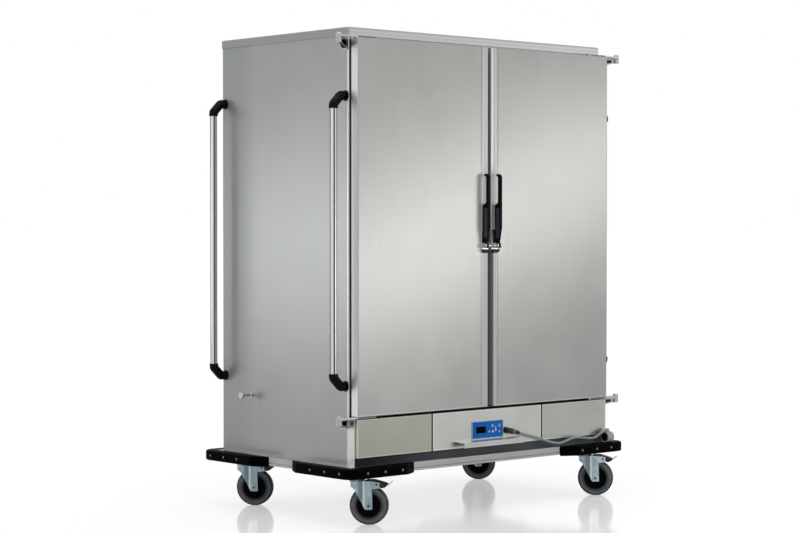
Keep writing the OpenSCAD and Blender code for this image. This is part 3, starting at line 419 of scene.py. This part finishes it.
def pedal_finish(centre):
    """Black moulding; the tab at its tip and the ends of its pin are steel."""
    def recipe(spot):
        ahead, aside = from_swivel(spot, centre)
        steel = ahead.ease(*PEDAL_TAB).most(abs(aside).ease(*PEDAL_PIN_END))
        return {"Base Color": steel.tone((0.008, 0.008, 0.009), (0.55, 0.56, 0.56)),
                "Metallic": steel, "Roughness": 0.34 + noise(spot, 45.0, 5.0) * 0.16}
    return recipe


dress(finish("plate_zinc", zinc_plate), "caster_plates")
dress(finish("moulded_black", moulded_black), *("wheel_hub_" + name for name in CASTERS))
for name, centre in CASTERS.items():
    dress(finish("zinc_" + name, fork_zinc(centre)), "fork_" + name)
    dress(finish("rubber_" + name, tyre_rubber(centre)), "tyre_" + name)
    dress(finish("pedal_" + name, pedal_finish(centre)), "brake_pedal_" + name)


# ---------------------------------------------------------------- cabinet
# Double-walled body in ground stainless sheet: side walls and back with upright grain, the cover
# and the compartment floor with level grain. At the foot of the front, bright cheeks stand at
# both ends of a recessed strip painted dark grey as shade, deeper towards the left.
SHEET = (0.475, 0.485, 0.475)
# Painted highlight along the fold round the door opening.
WALL_FOLD_HIGHLIGHT = (-0.3078, -0.3068)
HANDLED_WALL = (0.14, 0.26)
# Bounds of the painted shade on the recessed strip below the panels.
SHADE_INSIDE = (0.5531, 0.5533)
SHADE_OUTSIDE = (0.5790, 0.5793)
SHADE_FRONT = (-0.3417, -0.3414)
SHADE_TOP = (0.2180, 0.2184)


def side_sheet(spot):
    """A painted highlight where the sheet is folded round the door opening; hazy where hands rub
    past the rear push handles."""
    values = brushed((0.40, 0.415, 0.41), 0.34, UPRIGHT)(spot)
    y = spot.axis(1)
    # Painted highlight along the fold at the front.
    fold_highlight = (1 - y.ease(*WALL_FOLD_HIGHLIGHT)).tone(values["Base Color"], grey(0.86))
    hazy = y.ease(*HANDLED_WALL) * 0.72
    values["Base Color"] = hazy.tone(fold_highlight, (0.47, 0.49, 0.49))
    values["Metallic"] = 1 - hazy
    return values


def cover_sheet(spot):
    """The short sides are painted darker as shade. The front edge is painted lighter as a
    highlight, less so along its top fold and in a faint band half-way down, and its lowest
    3 mm are painted black as shadow."""
    values = brushed(SHEET, 0.34, LENGTHWAYS)(spot)
    low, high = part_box("top_cover")
    height = high[2] - low[2]
    # Painted shade on the short sides.
    shaded_short_side = abs(spot.axis(0)).ease(high[0] - 0.0008, high[0] - 0.0004)
    front = (1 - spot.axis(1).ease(low[1] + 0.0004, low[1] + 0.0008)) * (1 - shaded_short_side)
    down = high[2] - spot.axis(2)
    # A painted highlight on the front face, weaker along the top fold and a band half-way down.
    top_fold = 1 - down.ease(0.0055, 0.0075)
    middle_band = down.band(0.0130, 0.0145, 0.0165, 0.0180) * 0.6
    # Painted shadow: the lowest 3 mm of the front are black.
    shade_strip = front * down.ease(height - 0.0034, height - 0.0028)
    highlight_tone = top_fold.most(middle_band).tone((0.63, 0.64, 0.63), (0.50, 0.51, 0.50))
    steel = front.tone(shaded_short_side.tone(values["Base Color"], (0.36, 0.37, 0.365)), highlight_tone)
    values["Base Color"] = shade_strip.tone(steel, grey(0.12))
    return values


def front_frame(spot):
    """Bright cheeks; the strip below the panels is painted dark grey as shade, with streaks,
    deeper towards the left.
    """
    aside = abs(spot.axis(0))
    below = (1 - spot.axis(2).ease(*SHADE_TOP)) * (1 - spot.axis(1).ease(*SHADE_FRONT))
    # Painted shade: the recess below the panels and the cheeks' front faces beside it are dark.
    strip = (1 - aside.ease(*SHADE_INSIDE)).most((1 - aside.ease(*SHADE_OUTSIDE)) * below)
    streak = noise(spot, 9.0, 4.0, (0.4, 1, 1))
    # The painted shade is streaked and deepened towards the left.
    streaked_shade = streak.tone((0.088, 0.101, 0.115), (0.135, 0.151, 0.170))
    recess_shade = spot.axis(0).ease(-0.62, -0.10).tone((0.010, 0.011, 0.014), streaked_shade)
    return {"Base Color": strip.tone((0.76, 0.77, 0.76), recess_shade), "Metallic": 1 - strip,
            "Roughness": 0.36 + streak * 0.12, "Specular IOR Level": 0.15}


dress(finish("wall_steel", side_sheet), "side_wall_left", "side_wall_right")
dress(finish("shell_steel", brushed((0.43, 0.445, 0.44), 0.34, UPRIGHT)),
      "back_wall", "centre_wall")
dress(finish("cover_steel", cover_sheet), "top_cover")
dress(finish("floor_steel", brushed(SHEET, 0.34, LENGTHWAYS)), "compartment_floor")
dress(finish("front_frame", front_frame), "lower_frame")

# One countersunk screw with a hexagon socket sits in the recess low on each cheek.
CHEEK_SCREW = (0.5778, -0.332, 0.212)
HEAD_RADIUS = 0.0038
HEAD_HEIGHT = 0.0012
screws = bmesh.new()
for side in (-1, 1):
    head = bmesh.new()
    rim = bmesh.ops.create_circle(head, cap_ends=True, segments=32, radius=HEAD_RADIUS)["verts"]
    top = bmesh.ops.extrude_face_region(head, geom=[rim[0].link_faces[0]])["geom"]
    bmesh.ops.translate(head, vec=(0, 0, HEAD_HEIGHT),
                        verts=[g for g in top if isinstance(g, bmesh.types.BMVert)])
    crown = [g for g in top if isinstance(g, bmesh.types.BMFace)]
    bmesh.ops.inset_region(head, faces=crown, thickness=0.0008, depth=0.0004)
    bmesh.ops.inset_region(head, faces=crown, thickness=0.0012)
    bmesh.ops.inset_region(head, faces=crown, thickness=0.0001, depth=-HEAD_HEIGHT)
    bmesh.ops.recalc_face_normals(head, faces=head.faces)
    bmesh.ops.rotate(head, matrix=Matrix.Rotation(side * math.pi / 2, 3, "Y"), verts=head.verts)
    bmesh.ops.translate(head, vec=(side * CHEEK_SCREW[0], *CHEEK_SCREW[1:]), verts=head.verts)
    one = bpy.data.meshes.new("head")
    head.to_mesh(one)
    head.free()
    screws.from_mesh(one)
    bpy.data.meshes.remove(one)
cheek_screws = plain_mesh("cheek_screws", screws,
                          finish("cheek_screw_steel", turned_steel((0.60, 0.60, 0.59), 0.17)))
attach(cheek_screws, "cart")


# ---------------------------------------------------------------- tray runners
# Pressed stainless angles, spot-welded in pairs to the compartment walls one above the other.
# The trays slide in on them.
ACROSS = 1
dress(finish("runner_steel", brushed((0.58, 0.58, 0.57), 0.30, ACROSS)), "tray_runners")


# ---------------------------------------------------------------- doors
# Foam-filled stainless doors with a folded strip along the free edge, a black seal and a pressed
# inner pan. Grey plastic edging closes the gap between them and runs along their lower edge,
# where it is painted dark as shadow under a painted highlight; beside the gap below the latch
# on the right door it is painted dark as shade too.
STRIP = (0.0072, 0.0076, 0.0318, 0.0322)
STRIP_LEAN = 0.16
EDGING = (0.00680, 0.00700)
OUTER_SIDE = (0.5790, 0.5796)
# Painted highlight and shadow along the doors' lower edge.
BOTTOM_HIGHLIGHT_TOP = (0.3545, 0.3550)
BOTTOM_SHADOW_TOP = (0.3514, 0.3518)
# Painted shade on the right door beside the gap, below the latch.
SHADE_BELOW_LATCH = (0.0066, 0.0070, 0.0165, 0.0185)
SHADE_BELOW_LATCH_TOP = (0.874, 0.876)
# Where the doors are hazy and painted lighter beside the levers.
LIT_BESIDE_LEVERS_WIDTH = (0.042, 0.075)
LIT_BESIDE_LEVERS_HEIGHT = (0.850, 0.885, 1.135, 1.170)


def leaning(normal, amount):
    """A direction turned towards +X by the amount."""
    aside = normal.node("CombineXYZ", {}, {"X": amount})
    turned = normal.node("VectorMath", {"operation": "ADD"}, {0: normal, 1: aside})
    return normal.node("VectorMath", {"operation": "NORMALIZE"}, {0: turned})


def door_sheet(spot):
    """Ground like the walls. The strip along the free edge leans a little and is polished, with a
    painted highlight by the gap on the right door; the folded outer side is painted light as a
    highlight. The lower edge has a painted highlight over painted shadow, the right door is
    painted dark as shade beside the gap below the latch, and behind the levers the steel is
    hazy and painted lighter against their dark reflection."""
    values = brushed((0.455, 0.465, 0.445), 0.305, UPRIGHT)(spot)
    x, z = spot.axis(0), spot.axis(2)
    aside = abs(x)
    strip, outer = aside.band(*STRIP), aside.ease(*OUTER_SIDE)
    right_door = x.ease(-0.001, 0.001)
    # Painted highlight just above the lower edge, painted shadow on the edging below it.
    bottom_light_and_shadow = 1 - z.ease(*BOTTOM_HIGHLIGHT_TOP)
    # Painted shade on the right door beside the gap, below the latch.
    shade_strip = right_door * aside.band(*SHADE_BELOW_LATCH) * (1 - z.ease(*SHADE_BELOW_LATCH_TOP))
    edging_and_shade = (1 - aside.ease(*EDGING)).most(shade_strip).most(1 - z.ease(*BOTTOM_SHADOW_TOP))
    # Hazy where hands touch, and painted lighter there against the levers' dark reflection.
    hazed_and_lit = (1 - aside.ease(*LIT_BESIDE_LEVERS_WIDTH)) * z.band(*LIT_BESIDE_LEVERS_HEIGHT) * (1 - edging_and_shade)

    # Painted highlight on the strip by the gap on the right door.
    strip_highlight = right_door * (1 - aside.ease(0.014, 0.019))
    highlight_tone = strip_highlight.tone((0.56, 0.57, 0.555), (0.74, 0.75, 0.74))
    steel = (right_door * 0.06).tone(values["Base Color"], grey(0.0))
    # The folded outer side is painted light as a highlight.
    steel = strip.tone(outer.tone(steel, (0.83, 0.84, 0.84)), highlight_tone)
    # Painted highlight along the lower edge.
    steel = (bottom_light_and_shadow * (1 - outer)).tone(steel, grey(0.62))
    # Grey plastic edging, painted dark as shade below the latch and along the lower edge.
    edging_and_shade_colour = shade_strip.tone((0.40, 0.41, 0.45), (0.085, 0.088, 0.100))
    # Painted shadow on the edging along the lower edge.
    edging_and_shade_colour = bottom_light_and_shadow.tone(edging_and_shade_colour, (0.022, 0.023, 0.028))
    values["Base Color"] = edging_and_shade.tone(hazed_and_lit.tone(steel, (0.70, 0.71, 0.69)), edging_and_shade_colour)
    values["Metallic"] = (1 - edging_and_shade) - hazed_and_lit * 0.55
    values["Roughness"] = values["Roughness"] + outer * 0.16 + hazed_and_lit * 0.06
    values["Normal"] = leaning(values["Normal"], strip * STRIP_LEAN)
    return values


def seal_rubber(spot):
    dust = noise(spot, 30.0, 4.0)
    return {"Base Color": dust.tone((0.0050, 0.0050, 0.0055), (0.012, 0.012, 0.012)),
            "Roughness": 0.55 + dust * 0.15}


dress(finish("door_steel", door_sheet), "door_panel_left", "door_panel_right")
dress(finish("pan_steel", brushed((0.56, 0.56, 0.55), 0.32, UPRIGHT)),
      "door_inner_left", "door_inner_right")
dress(finish("seal_rubber", seal_rubber), "door_gasket_left", "door_gasket_right")


# ---------------------------------------------------------------- hinges, stops, keeper
# Polished stainless brackets welded to the side walls, arms on the doors' edges, turned door
# stops, and the bar that the latches hook behind.
POLISHED = (0.66, 0.665, 0.66)
ARM_FRONT = -0.356
HINGE_AXIS = (0.645, -0.343)
BRACKET_TOPS = (0.3442, 1.5547)
BETWEEN_BRACKETS = (0.90, 0.91)
RIB_ANGLES = (math.atan2(0.035, 0.065), math.atan2(0.058, 0.065))


def arm_steel(spot):
    """Turned steel like the brackets, with the front edge darker."""
    values = turned_steel(POLISHED, 0.24)(spot)
    darker_front = 1 - spot.axis(1).ease(ARM_FRONT + 0.0004, ARM_FRONT + 0.0008)
    values["Base Color"] = darker_front.tone(values["Base Color"], (0.22, 0.225, 0.23))
    return values


def bracket_steel(spot):
    """Turned steel; the hollow between a bracket's two ribs is painted black as shade."""
    values = turned_steel((0.60, 0.605, 0.60), 0.24)(spot)
    inward, back = HINGE_AXIS[0] - abs(spot.axis(0)), spot.axis(1) - HINGE_AXIS[1]
    from_front_rib, from_rear_rib = (back * math.cos(angle) - inward * math.sin(angle)
                                     for angle in RIB_ANGLES)
    z = spot.axis(2)
    below_top = (z - z.ease(*BETWEEN_BRACKETS) * (BRACKET_TOPS[1] - BRACKET_TOPS[0])
                 - BRACKET_TOPS[0])
    # Painted shade: the hollow between the ribs is black.
    hollow_shade = from_front_rib.ease(0.0012, 0.0016) * (1 - from_rear_rib.ease(-0.0004, 0.0002))
    hollow_shade = hollow_shade * inward.ease(0.0105, 0.0115)
    hollow_shade = hollow_shade * below_top.band(-0.0300, -0.0290, -0.0010, -0.0006)
    values["Base Color"] = hollow_shade.tone(values["Base Color"], (0.006, 0.006, 0.007))
    values["Metallic"] = 1 - hollow_shade
    return values


bright = finish("bright_steel", turned_steel(POLISHED, 0.20))
dress(bright, "door_stops", "latch_keeper")
dress(finish("arm_steel", arm_steel), "hinge_arms_left", "hinge_arms_right")
dress(finish("bracket_steel", bracket_steel), "hinge_brackets_left", "hinge_brackets_right")


# ---------------------------------------------------------------- latches
# Black moulded levers on a bright base plate, a steel shaft with a claw that reaches through the
# gap between the doors, and a black foot below each base.
FOOT_TOP = (0.8795, 0.8800)
LEVER_X = 0.028
# Where the painted sheen sits on the grip's sides.
SHEEN_SIDE = (0.0046, 0.0048)
SHEEN_DEPTH = (-0.3835, -0.3825, -0.3680, -0.3670)
SHEEN_HEIGHT = (0.912, 0.922, 1.012, 1.022)


def latch_plate(spot):
    foot = 1 - spot.axis(2).ease(*FOOT_TOP)
    return {"Base Color": foot.tone(POLISHED, (0.008, 0.008, 0.009)), "Metallic": 1 - foot,
            "Roughness": 0.17 + noise(spot, 120.0, 3.0) * 0.12}


def lever_black(spot):
    """Black moulding with a painted sheen, slate-grey, on both sides of its grip."""
    values = moulded_black(spot)
    side = abs(abs(spot.axis(0)) - LEVER_X).ease(*SHEEN_SIDE)
    # Painted sheen on the sides of the grip.
    sheen = side * spot.axis(1).band(*SHEEN_DEPTH) * spot.axis(2).band(*SHEEN_HEIGHT)
    values["Base Color"] = sheen.tone(values["Base Color"], (0.078, 0.082, 0.104))
    return values


dress(finish("latch_plate", latch_plate), "latch_base_left", "latch_base_right")
dress(finish("lever_black", lever_black), "latch_lever_left", "latch_lever_right")
dress(bright, "latch_claw_left", "latch_claw_right")


# ---------------------------------------------------------------- push handles
# Drawn stainless tubes, ground lengthways, between black moulded elbows. Each elbow is one
# moulding: a round foot on the wall, two half bends with a slanted length between them and a
# sleeve over the tube's end.
TUBE_X = 0.630
TUBE_ROWS = (-0.298, 0.340)
# Dark painted reflections at fixed turns round the tubes.
REFLECTION_ANGLE = math.radians(245)
REFLECTION_COUNT = 5


def drawn_tube(spot):
    """Five dark painted reflections run the whole length of the tube, with fine ground
    lines between them.
    """
    x, y = spot.axis(0), spot.axis(1)
    across = (abs(x) - TUBE_X) * x.math("SIGN")
    along = y - (y.ease(0.0, 0.01) * (TUBE_ROWS[1] - TUBE_ROWS[0]) + TUBE_ROWS[0])
    # Painted reflection: dark streaks at fixed turns round the tube.
    turn = (along.math("ARCTAN2", across) - REFLECTION_ANGLE) * REFLECTION_COUNT
    dark_reflection = (turn.math("COSINE") * 0.5 + 0.5).ease(0.40, 0.96)
    lines = noise(spot, 1.0, 2.0, (220.0, 220.0, 1.5))
    lines_and_reflection = lines * 0.12 + 0.92 - dark_reflection * 0.92
    return {"Base Color": lines_and_reflection.tone((0.06, 0.06, 0.062), (0.98, 0.98, 0.97)),
            "Metallic": 1.0, "Roughness": 0.18 + lines * 0.06}


dress(finish("tube_steel", drawn_tube), "handle_tubes")

WALL_X = 0.580
FIX_LOW, FIX_HIGH = 0.446, 1.373
ELBOW_RADIUS = 0.015
FOOT_RADIUS = 0.017
FOOT_EDGE, FOOT_CHAMFER = 0.0022, 0.0008
ELBOW_BEND = 0.034
HALF_BEND = 0.012
SLEEVE = 0.008
SLEEVE_DEPTH = 0.014
TUBE_SOCKET = 0.0122


def elbow_black(spot):
    """The casters' black moulding, rubbed to a shine by hands."""
    values = moulded_black(spot)
    values["Roughness"] = 0.20 + noise(spot, 45.0, 5.0) * 0.10
    values["Specular IOR Level"] = 0.12
    return values


def elbow_mesh():
    """Foot on the plane x = 0, going out along +X and turning up along +Z."""
    shape = bmesh.new()
    rim = bmesh.ops.create_circle(shape, segments=40, radius=FOOT_RADIUS)["verts"]
    bmesh.ops.rotate(shape, matrix=Matrix.Rotation(math.pi / 2, 3, "Y"), verts=rim)
    edges = shape.edges[:]
    bmesh.ops.contextual_create(shape, geom=edges)

    def grow(edges, move, scale=1.0, centre=Vector()):
        grown = bmesh.ops.extrude_edge_only(shape, edges=edges)["geom"]
        verts = [g for g in grown if isinstance(g, bmesh.types.BMVert)]
        bmesh.ops.scale(shape, vec=(scale, scale, scale), space=Matrix.Translation(-centre),
                        verts=verts)
        bmesh.ops.translate(shape, vec=move, verts=verts)
        return [g for g in grown if isinstance(g, bmesh.types.BMEdge) and len(g.link_faces) == 1]

    straight = TUBE_X - WALL_X - ELBOW_BEND
    slant = ELBOW_BEND - HALF_BEND
    edges = grow(edges, (FOOT_EDGE, 0, 0))
    edges = grow(edges, (FOOT_CHAMFER, 0, 0), ELBOW_RADIUS / FOOT_RADIUS, Vector((FOOT_EDGE, 0, 0)))
    edges = grow(edges, (straight - FOOT_EDGE - FOOT_CHAMFER, 0, 0))
    for centre in ((straight, 0, HALF_BEND), (straight + slant, 0, ELBOW_BEND)):
        turned = bmesh.ops.spin(shape, geom=edges, cent=centre, axis=(0, -1, 0), dvec=(0, 0, 0),
                                angle=math.pi / 4, steps=8, use_duplicate=False)["geom_last"]
        edges = [g for g in turned if isinstance(g, bmesh.types.BMEdge)]
        if centre[2] == HALF_BEND:
            edges = grow(edges, (slant, 0, slant))
    tip = Vector((TUBE_X - WALL_X, 0, ELBOW_BEND + SLEEVE))
    edges = grow(edges, (0, 0, SLEEVE))
    edges = grow(edges, (0, 0, 0), TUBE_SOCKET / ELBOW_RADIUS, tip)
    edges = grow(edges, (0, 0, -SLEEVE_DEPTH))
    bmesh.ops.contextual_create(shape, geom=edges)
    bmesh.ops.remove_doubles(shape, verts=shape.verts, dist=1e-6)
    bmesh.ops.recalc_face_normals(shape, faces=shape.faces)
    one = bpy.data.meshes.new("elbow")
    shape.to_mesh(one)
    shape.free()
    return one


one_elbow = elbow_mesh()
elbows = bmesh.new()
for side in (-1, 1):
    for row in TUBE_ROWS:
        for height, up in ((FIX_LOW, 1), (FIX_HIGH, -1)):
            before = len(elbows.verts)
            elbows.from_mesh(one_elbow)
            elbows.verts.ensure_lookup_table()
            fresh = elbows.verts[before:]
            bmesh.ops.scale(elbows, vec=(side, 1, up), verts=fresh)
            bmesh.ops.translate(elbows, vec=(side * WALL_X, row, height), verts=fresh)
bmesh.ops.recalc_face_normals(elbows, faces=elbows.faces)
bpy.data.meshes.remove(one_elbow)
push_elbows = plain_mesh("push_elbows", elbows, finish("elbow_black", elbow_black), smooth=True)
push_elbows.data.set_sharp_from_angle(angle=math.radians(35))
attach(push_elbows, "cart")
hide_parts("handle_elbows")


# ---------------------------------------------------------------- lower front and heating module
# Folded stainless covers with level grain; the middle one is the front of the pull-out module
# and has a grip ledge. Behind it the module's zinc-plated tray holds the heater and the blower.
JOINT = 0.25625
# Width of the painted shade at the joints.
JOINT_SHADE_WIDTH = (0.0033, 0.0039)


def panel_sheet(tint, node, joints):
    """A painted highlight along the folded edges; the top edge and the joints are painted
    black as shade.
    """
    low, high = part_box(node)

    def recipe(spot):
        values = brushed(tint, 0.31, LENGTHWAYS)(spot)
        x, z = spot.axis(0), spot.axis(2)
        from_sides = (x - low[0]).least(high[0] - x)
        from_ends = (z - low[2]).least(high[2] - z)
        # Painted highlight along the folded edges.
        edge_highlight = 1 - (from_sides - 0.002).least(from_ends).ease(0.0040, 0.0048)
        # Painted shade along the top edge and the joints.
        top_and_joint_shade = z.ease(high[2] - 0.0020, high[2] - 0.0016)
        for joint in joints:
            top_and_joint_shade = top_and_joint_shade.most(1 - abs(x - joint).ease(*JOINT_SHADE_WIDTH))
        steel = edge_highlight.tone(values["Base Color"], shaded(tint, 1.25))
        values["Base Color"] = top_and_joint_shade.tone(steel, grey(0.012))
        values["Metallic"] = 1 - top_and_joint_shade
        return values
    return recipe


for name, tint, node, joints in (
        ("left_panel_steel", (0.44, 0.44, 0.385), "lower_panel_left", (-JOINT,)),
        ("right_panel_steel", (0.52, 0.53, 0.50), "lower_panel_right", (JOINT,)),
        ("module_steel", (0.625, 0.63, 0.595), "module_front", (-JOINT, JOINT))):
    dress(finish(name, panel_sheet(tint, node, joints)), node)


def heated_tube(spot):
    bloom = noise(spot, 40.0, 4.0)
    return {"Base Color": bloom.ease(0.35, 0.7).tone((0.13, 0.105, 0.085), (0.26, 0.25, 0.26)),
            "Metallic": 0.9, "Roughness": 0.42 + bloom * 0.2}


def motor_paint(spot):
    dust = noise(spot, 30.0, 5.0)
    return {"Base Color": dust.tone((0.13, 0.135, 0.15), (0.20, 0.205, 0.215)),
            "Roughness": 0.4 + dust * 0.2}


dress(finish("housing_zinc", brushed((0.48, 0.51, 0.53), 0.40, ACROSS)), "module_housing")
dress(finish("heated_tube", heated_tube), "heater_element")
dress(finish("motor_paint", motor_paint), "blower_motor")
dress(finish("wheel_steel", brushed((0.58, 0.58, 0.57), 0.30, UPRIGHT)), "blower_wheel")


# ---------------------------------------------------------------- control panel
# Blue membrane foil with a pale border and a sunk smoked window. The keys are white signs printed
# on the foil, a little proud of it: warmth, clock, up and down, probe and a round start key.
PANEL_CENTRE = (-0.0045, 0.2735)
PANEL_HALF = (0.073, 0.0295)
FOIL_FRONT = -0.3565
PRINT = 0.00018


def foil(spot):
    from_side = abs(spot.axis(0) - PANEL_CENTRE[0]) - PANEL_HALF[0]
    from_top = abs(spot.axis(2) - PANEL_CENTRE[1]) - PANEL_HALF[1]
    border = from_side.most(from_top).ease(-0.0020, -0.0016)
    grain, fade = noise(spot, 500.0, 2.0), noise(spot, 14.0, 2.0)
    blue = (fade * 0.7 + grain * 0.3).tone((0.007, 0.135, 0.580), (0.012, 0.205, 0.760))
    return {"Base Color": border.tone(blue, (0.66, 0.72, 0.78)),
            "Roughness": 0.30 + grain * 0.1, "Specular IOR Level": 0.12}


def smoked(spot):
    dust = noise(spot, 90.0, 4.0)
    return {"Base Color": dust.tone((0.0010, 0.0010, 0.0018), (0.003, 0.003, 0.004)),
            "Roughness": 0.16 + dust * 0.08, "Specular IOR Level": 0.02}


def print_white(spot):
    wear = noise(spot, 300.0, 3.0)
    return {"Base Color": wear.tone((0.66, 0.74, 0.84), (0.84, 0.88, 0.92)),
            "Roughness": 0.35 + wear * 0.1}


def disc(radius, sides=24):
    shape = bmesh.new()
    bmesh.ops.create_circle(shape, cap_ends=True, segments=sides, radius=radius)
    return shape


def ring(radius, width):
    shape = disc(radius)
    kept = bmesh.ops.inset_region(shape, faces=shape.faces[:], thickness=width,
                                  use_boundary=True)["faces"]
    bmesh.ops.delete(shape, geom=[f for f in shape.faces if f not in kept], context="FACES")
    return shape


def bar(width, height):
    shape = bmesh.new()
    bmesh.ops.create_grid(shape, x_segments=1, y_segments=1, size=0.5)
    bmesh.ops.scale(shape, vec=(width, height, 1), verts=shape.verts)
    return shape


def add_sign(signs, shape, x, z, turn=0.0):
    """Lay a flat sign, drawn in the XY plane, upright on the foil at x, z."""
    bmesh.ops.rotate(shape, matrix=Matrix.Rotation(turn, 3, "Z"), verts=shape.verts)
    bmesh.ops.rotate(shape, matrix=Matrix.Rotation(math.pi / 2, 3, "X"), verts=shape.verts)
    bmesh.ops.translate(shape, vec=(x, FOIL_FRONT, z), verts=shape.verts)
    grown = bmesh.ops.extrude_face_region(shape, geom=shape.faces[:])["geom"]
    bmesh.ops.translate(shape, vec=(0, -PRINT, 0),
                        verts=[g for g in grown if isinstance(g, bmesh.types.BMVert)])
    bmesh.ops.recalc_face_normals(shape, faces=shape.faces)
    sign = bpy.data.meshes.new("sign")
    shape.to_mesh(sign)
    shape.free()
    signs.from_mesh(sign)
    bpy.data.meshes.remove(sign)


signs = bmesh.new()
UP_KEY, DOWN_KEY = (0.003, 0.266), (0.051, 0.264)
add_sign(signs, disc(0.0050, sides=3), *UP_KEY, turn=math.pi / 2)
add_sign(signs, disc(0.0050, sides=3), *DOWN_KEY, turn=-math.pi / 2)

CLOCK = (0.051, 0.284)
add_sign(signs, ring(0.0056, 0.0014), *CLOCK)
add_sign(signs, bar(0.0011, 0.0036), CLOCK[0], CLOCK[1] + 0.0012)

START_KEY = (0.020, 0.2655)
add_sign(signs, disc(0.0046), *START_KEY)

PROBE_BULB = (0.033, 0.2690)
add_sign(signs, disc(0.0036), *PROBE_BULB)
add_sign(signs, bar(0.0036, 0.0100), PROBE_BULB[0], PROBE_BULB[1] + 0.0088)

WARMTH = (0.018, 0.285)
RAY_CIRCLE = 0.0053
add_sign(signs, disc(0.0034), *WARMTH)
for ray in (math.radians(45 * k) for k in range(8)):
    add_sign(signs, bar(0.0011, 0.0022), WARMTH[0] + RAY_CIRCLE * math.cos(ray),
             WARMTH[1] + RAY_CIRCLE * math.sin(ray), turn=ray - math.pi / 2)

key_signs = plain_mesh("key_signs", signs, finish("print_white", print_white))
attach(key_signs, "heating_module")
dress(finish("blue_foil", foil), "control_panel")
dress(finish("smoked_window", smoked), "display_window")


# ---------------------------------------------------------------- gland and plug
# Black moulded gland with a grey nut, screwed into the module's front; round earthed plug in grey
# rubbery plastic, which lies on the corner bumper.
NUT = (0.0955, 0.0960, 0.1085, 0.1090)
PLUG_AXIS = (-0.3725, 0.2098)
INSERT_RADIUS = (0.0151, 0.0154)
INSERT_FACE = (0.5712, 0.5716)


def gland_finish(spot):
    nut = spot.axis(0).band(*NUT)
    return {"Base Color": nut.tone((0.008, 0.008, 0.009), (0.16, 0.18, 0.19)),
            "Roughness": 0.36 + noise(spot, 60.0, 4.0) * 0.2}


def plug_grey(spot):
    """Grey body with a black insert inside its rim."""
    dust = noise(spot, 40.0, 5.0)
    y, z = spot.axis(1) - PLUG_AXIS[0], spot.axis(2) - PLUG_AXIS[1]
    insert = 1 - (y * y + z * z).math("SQRT").ease(*INSERT_RADIUS)
    insert = insert * (1 - spot.axis(0).ease(*INSERT_FACE))
    body = dust.ease(0.3, 0.75).tone((0.36, 0.41, 0.445), (0.52, 0.570, 0.600))
    return {"Base Color": insert.tone(body, (0.006, 0.007, 0.010)),
            "Roughness": 0.44 + dust * 0.18,
            "Normal": noise(spot, 1200.0).relief(0.1, 0.0004)}


dress(finish("gland_black", gland_finish), "cord_gland")
dress(finish("plug_grey", plug_grey), "power_plug")
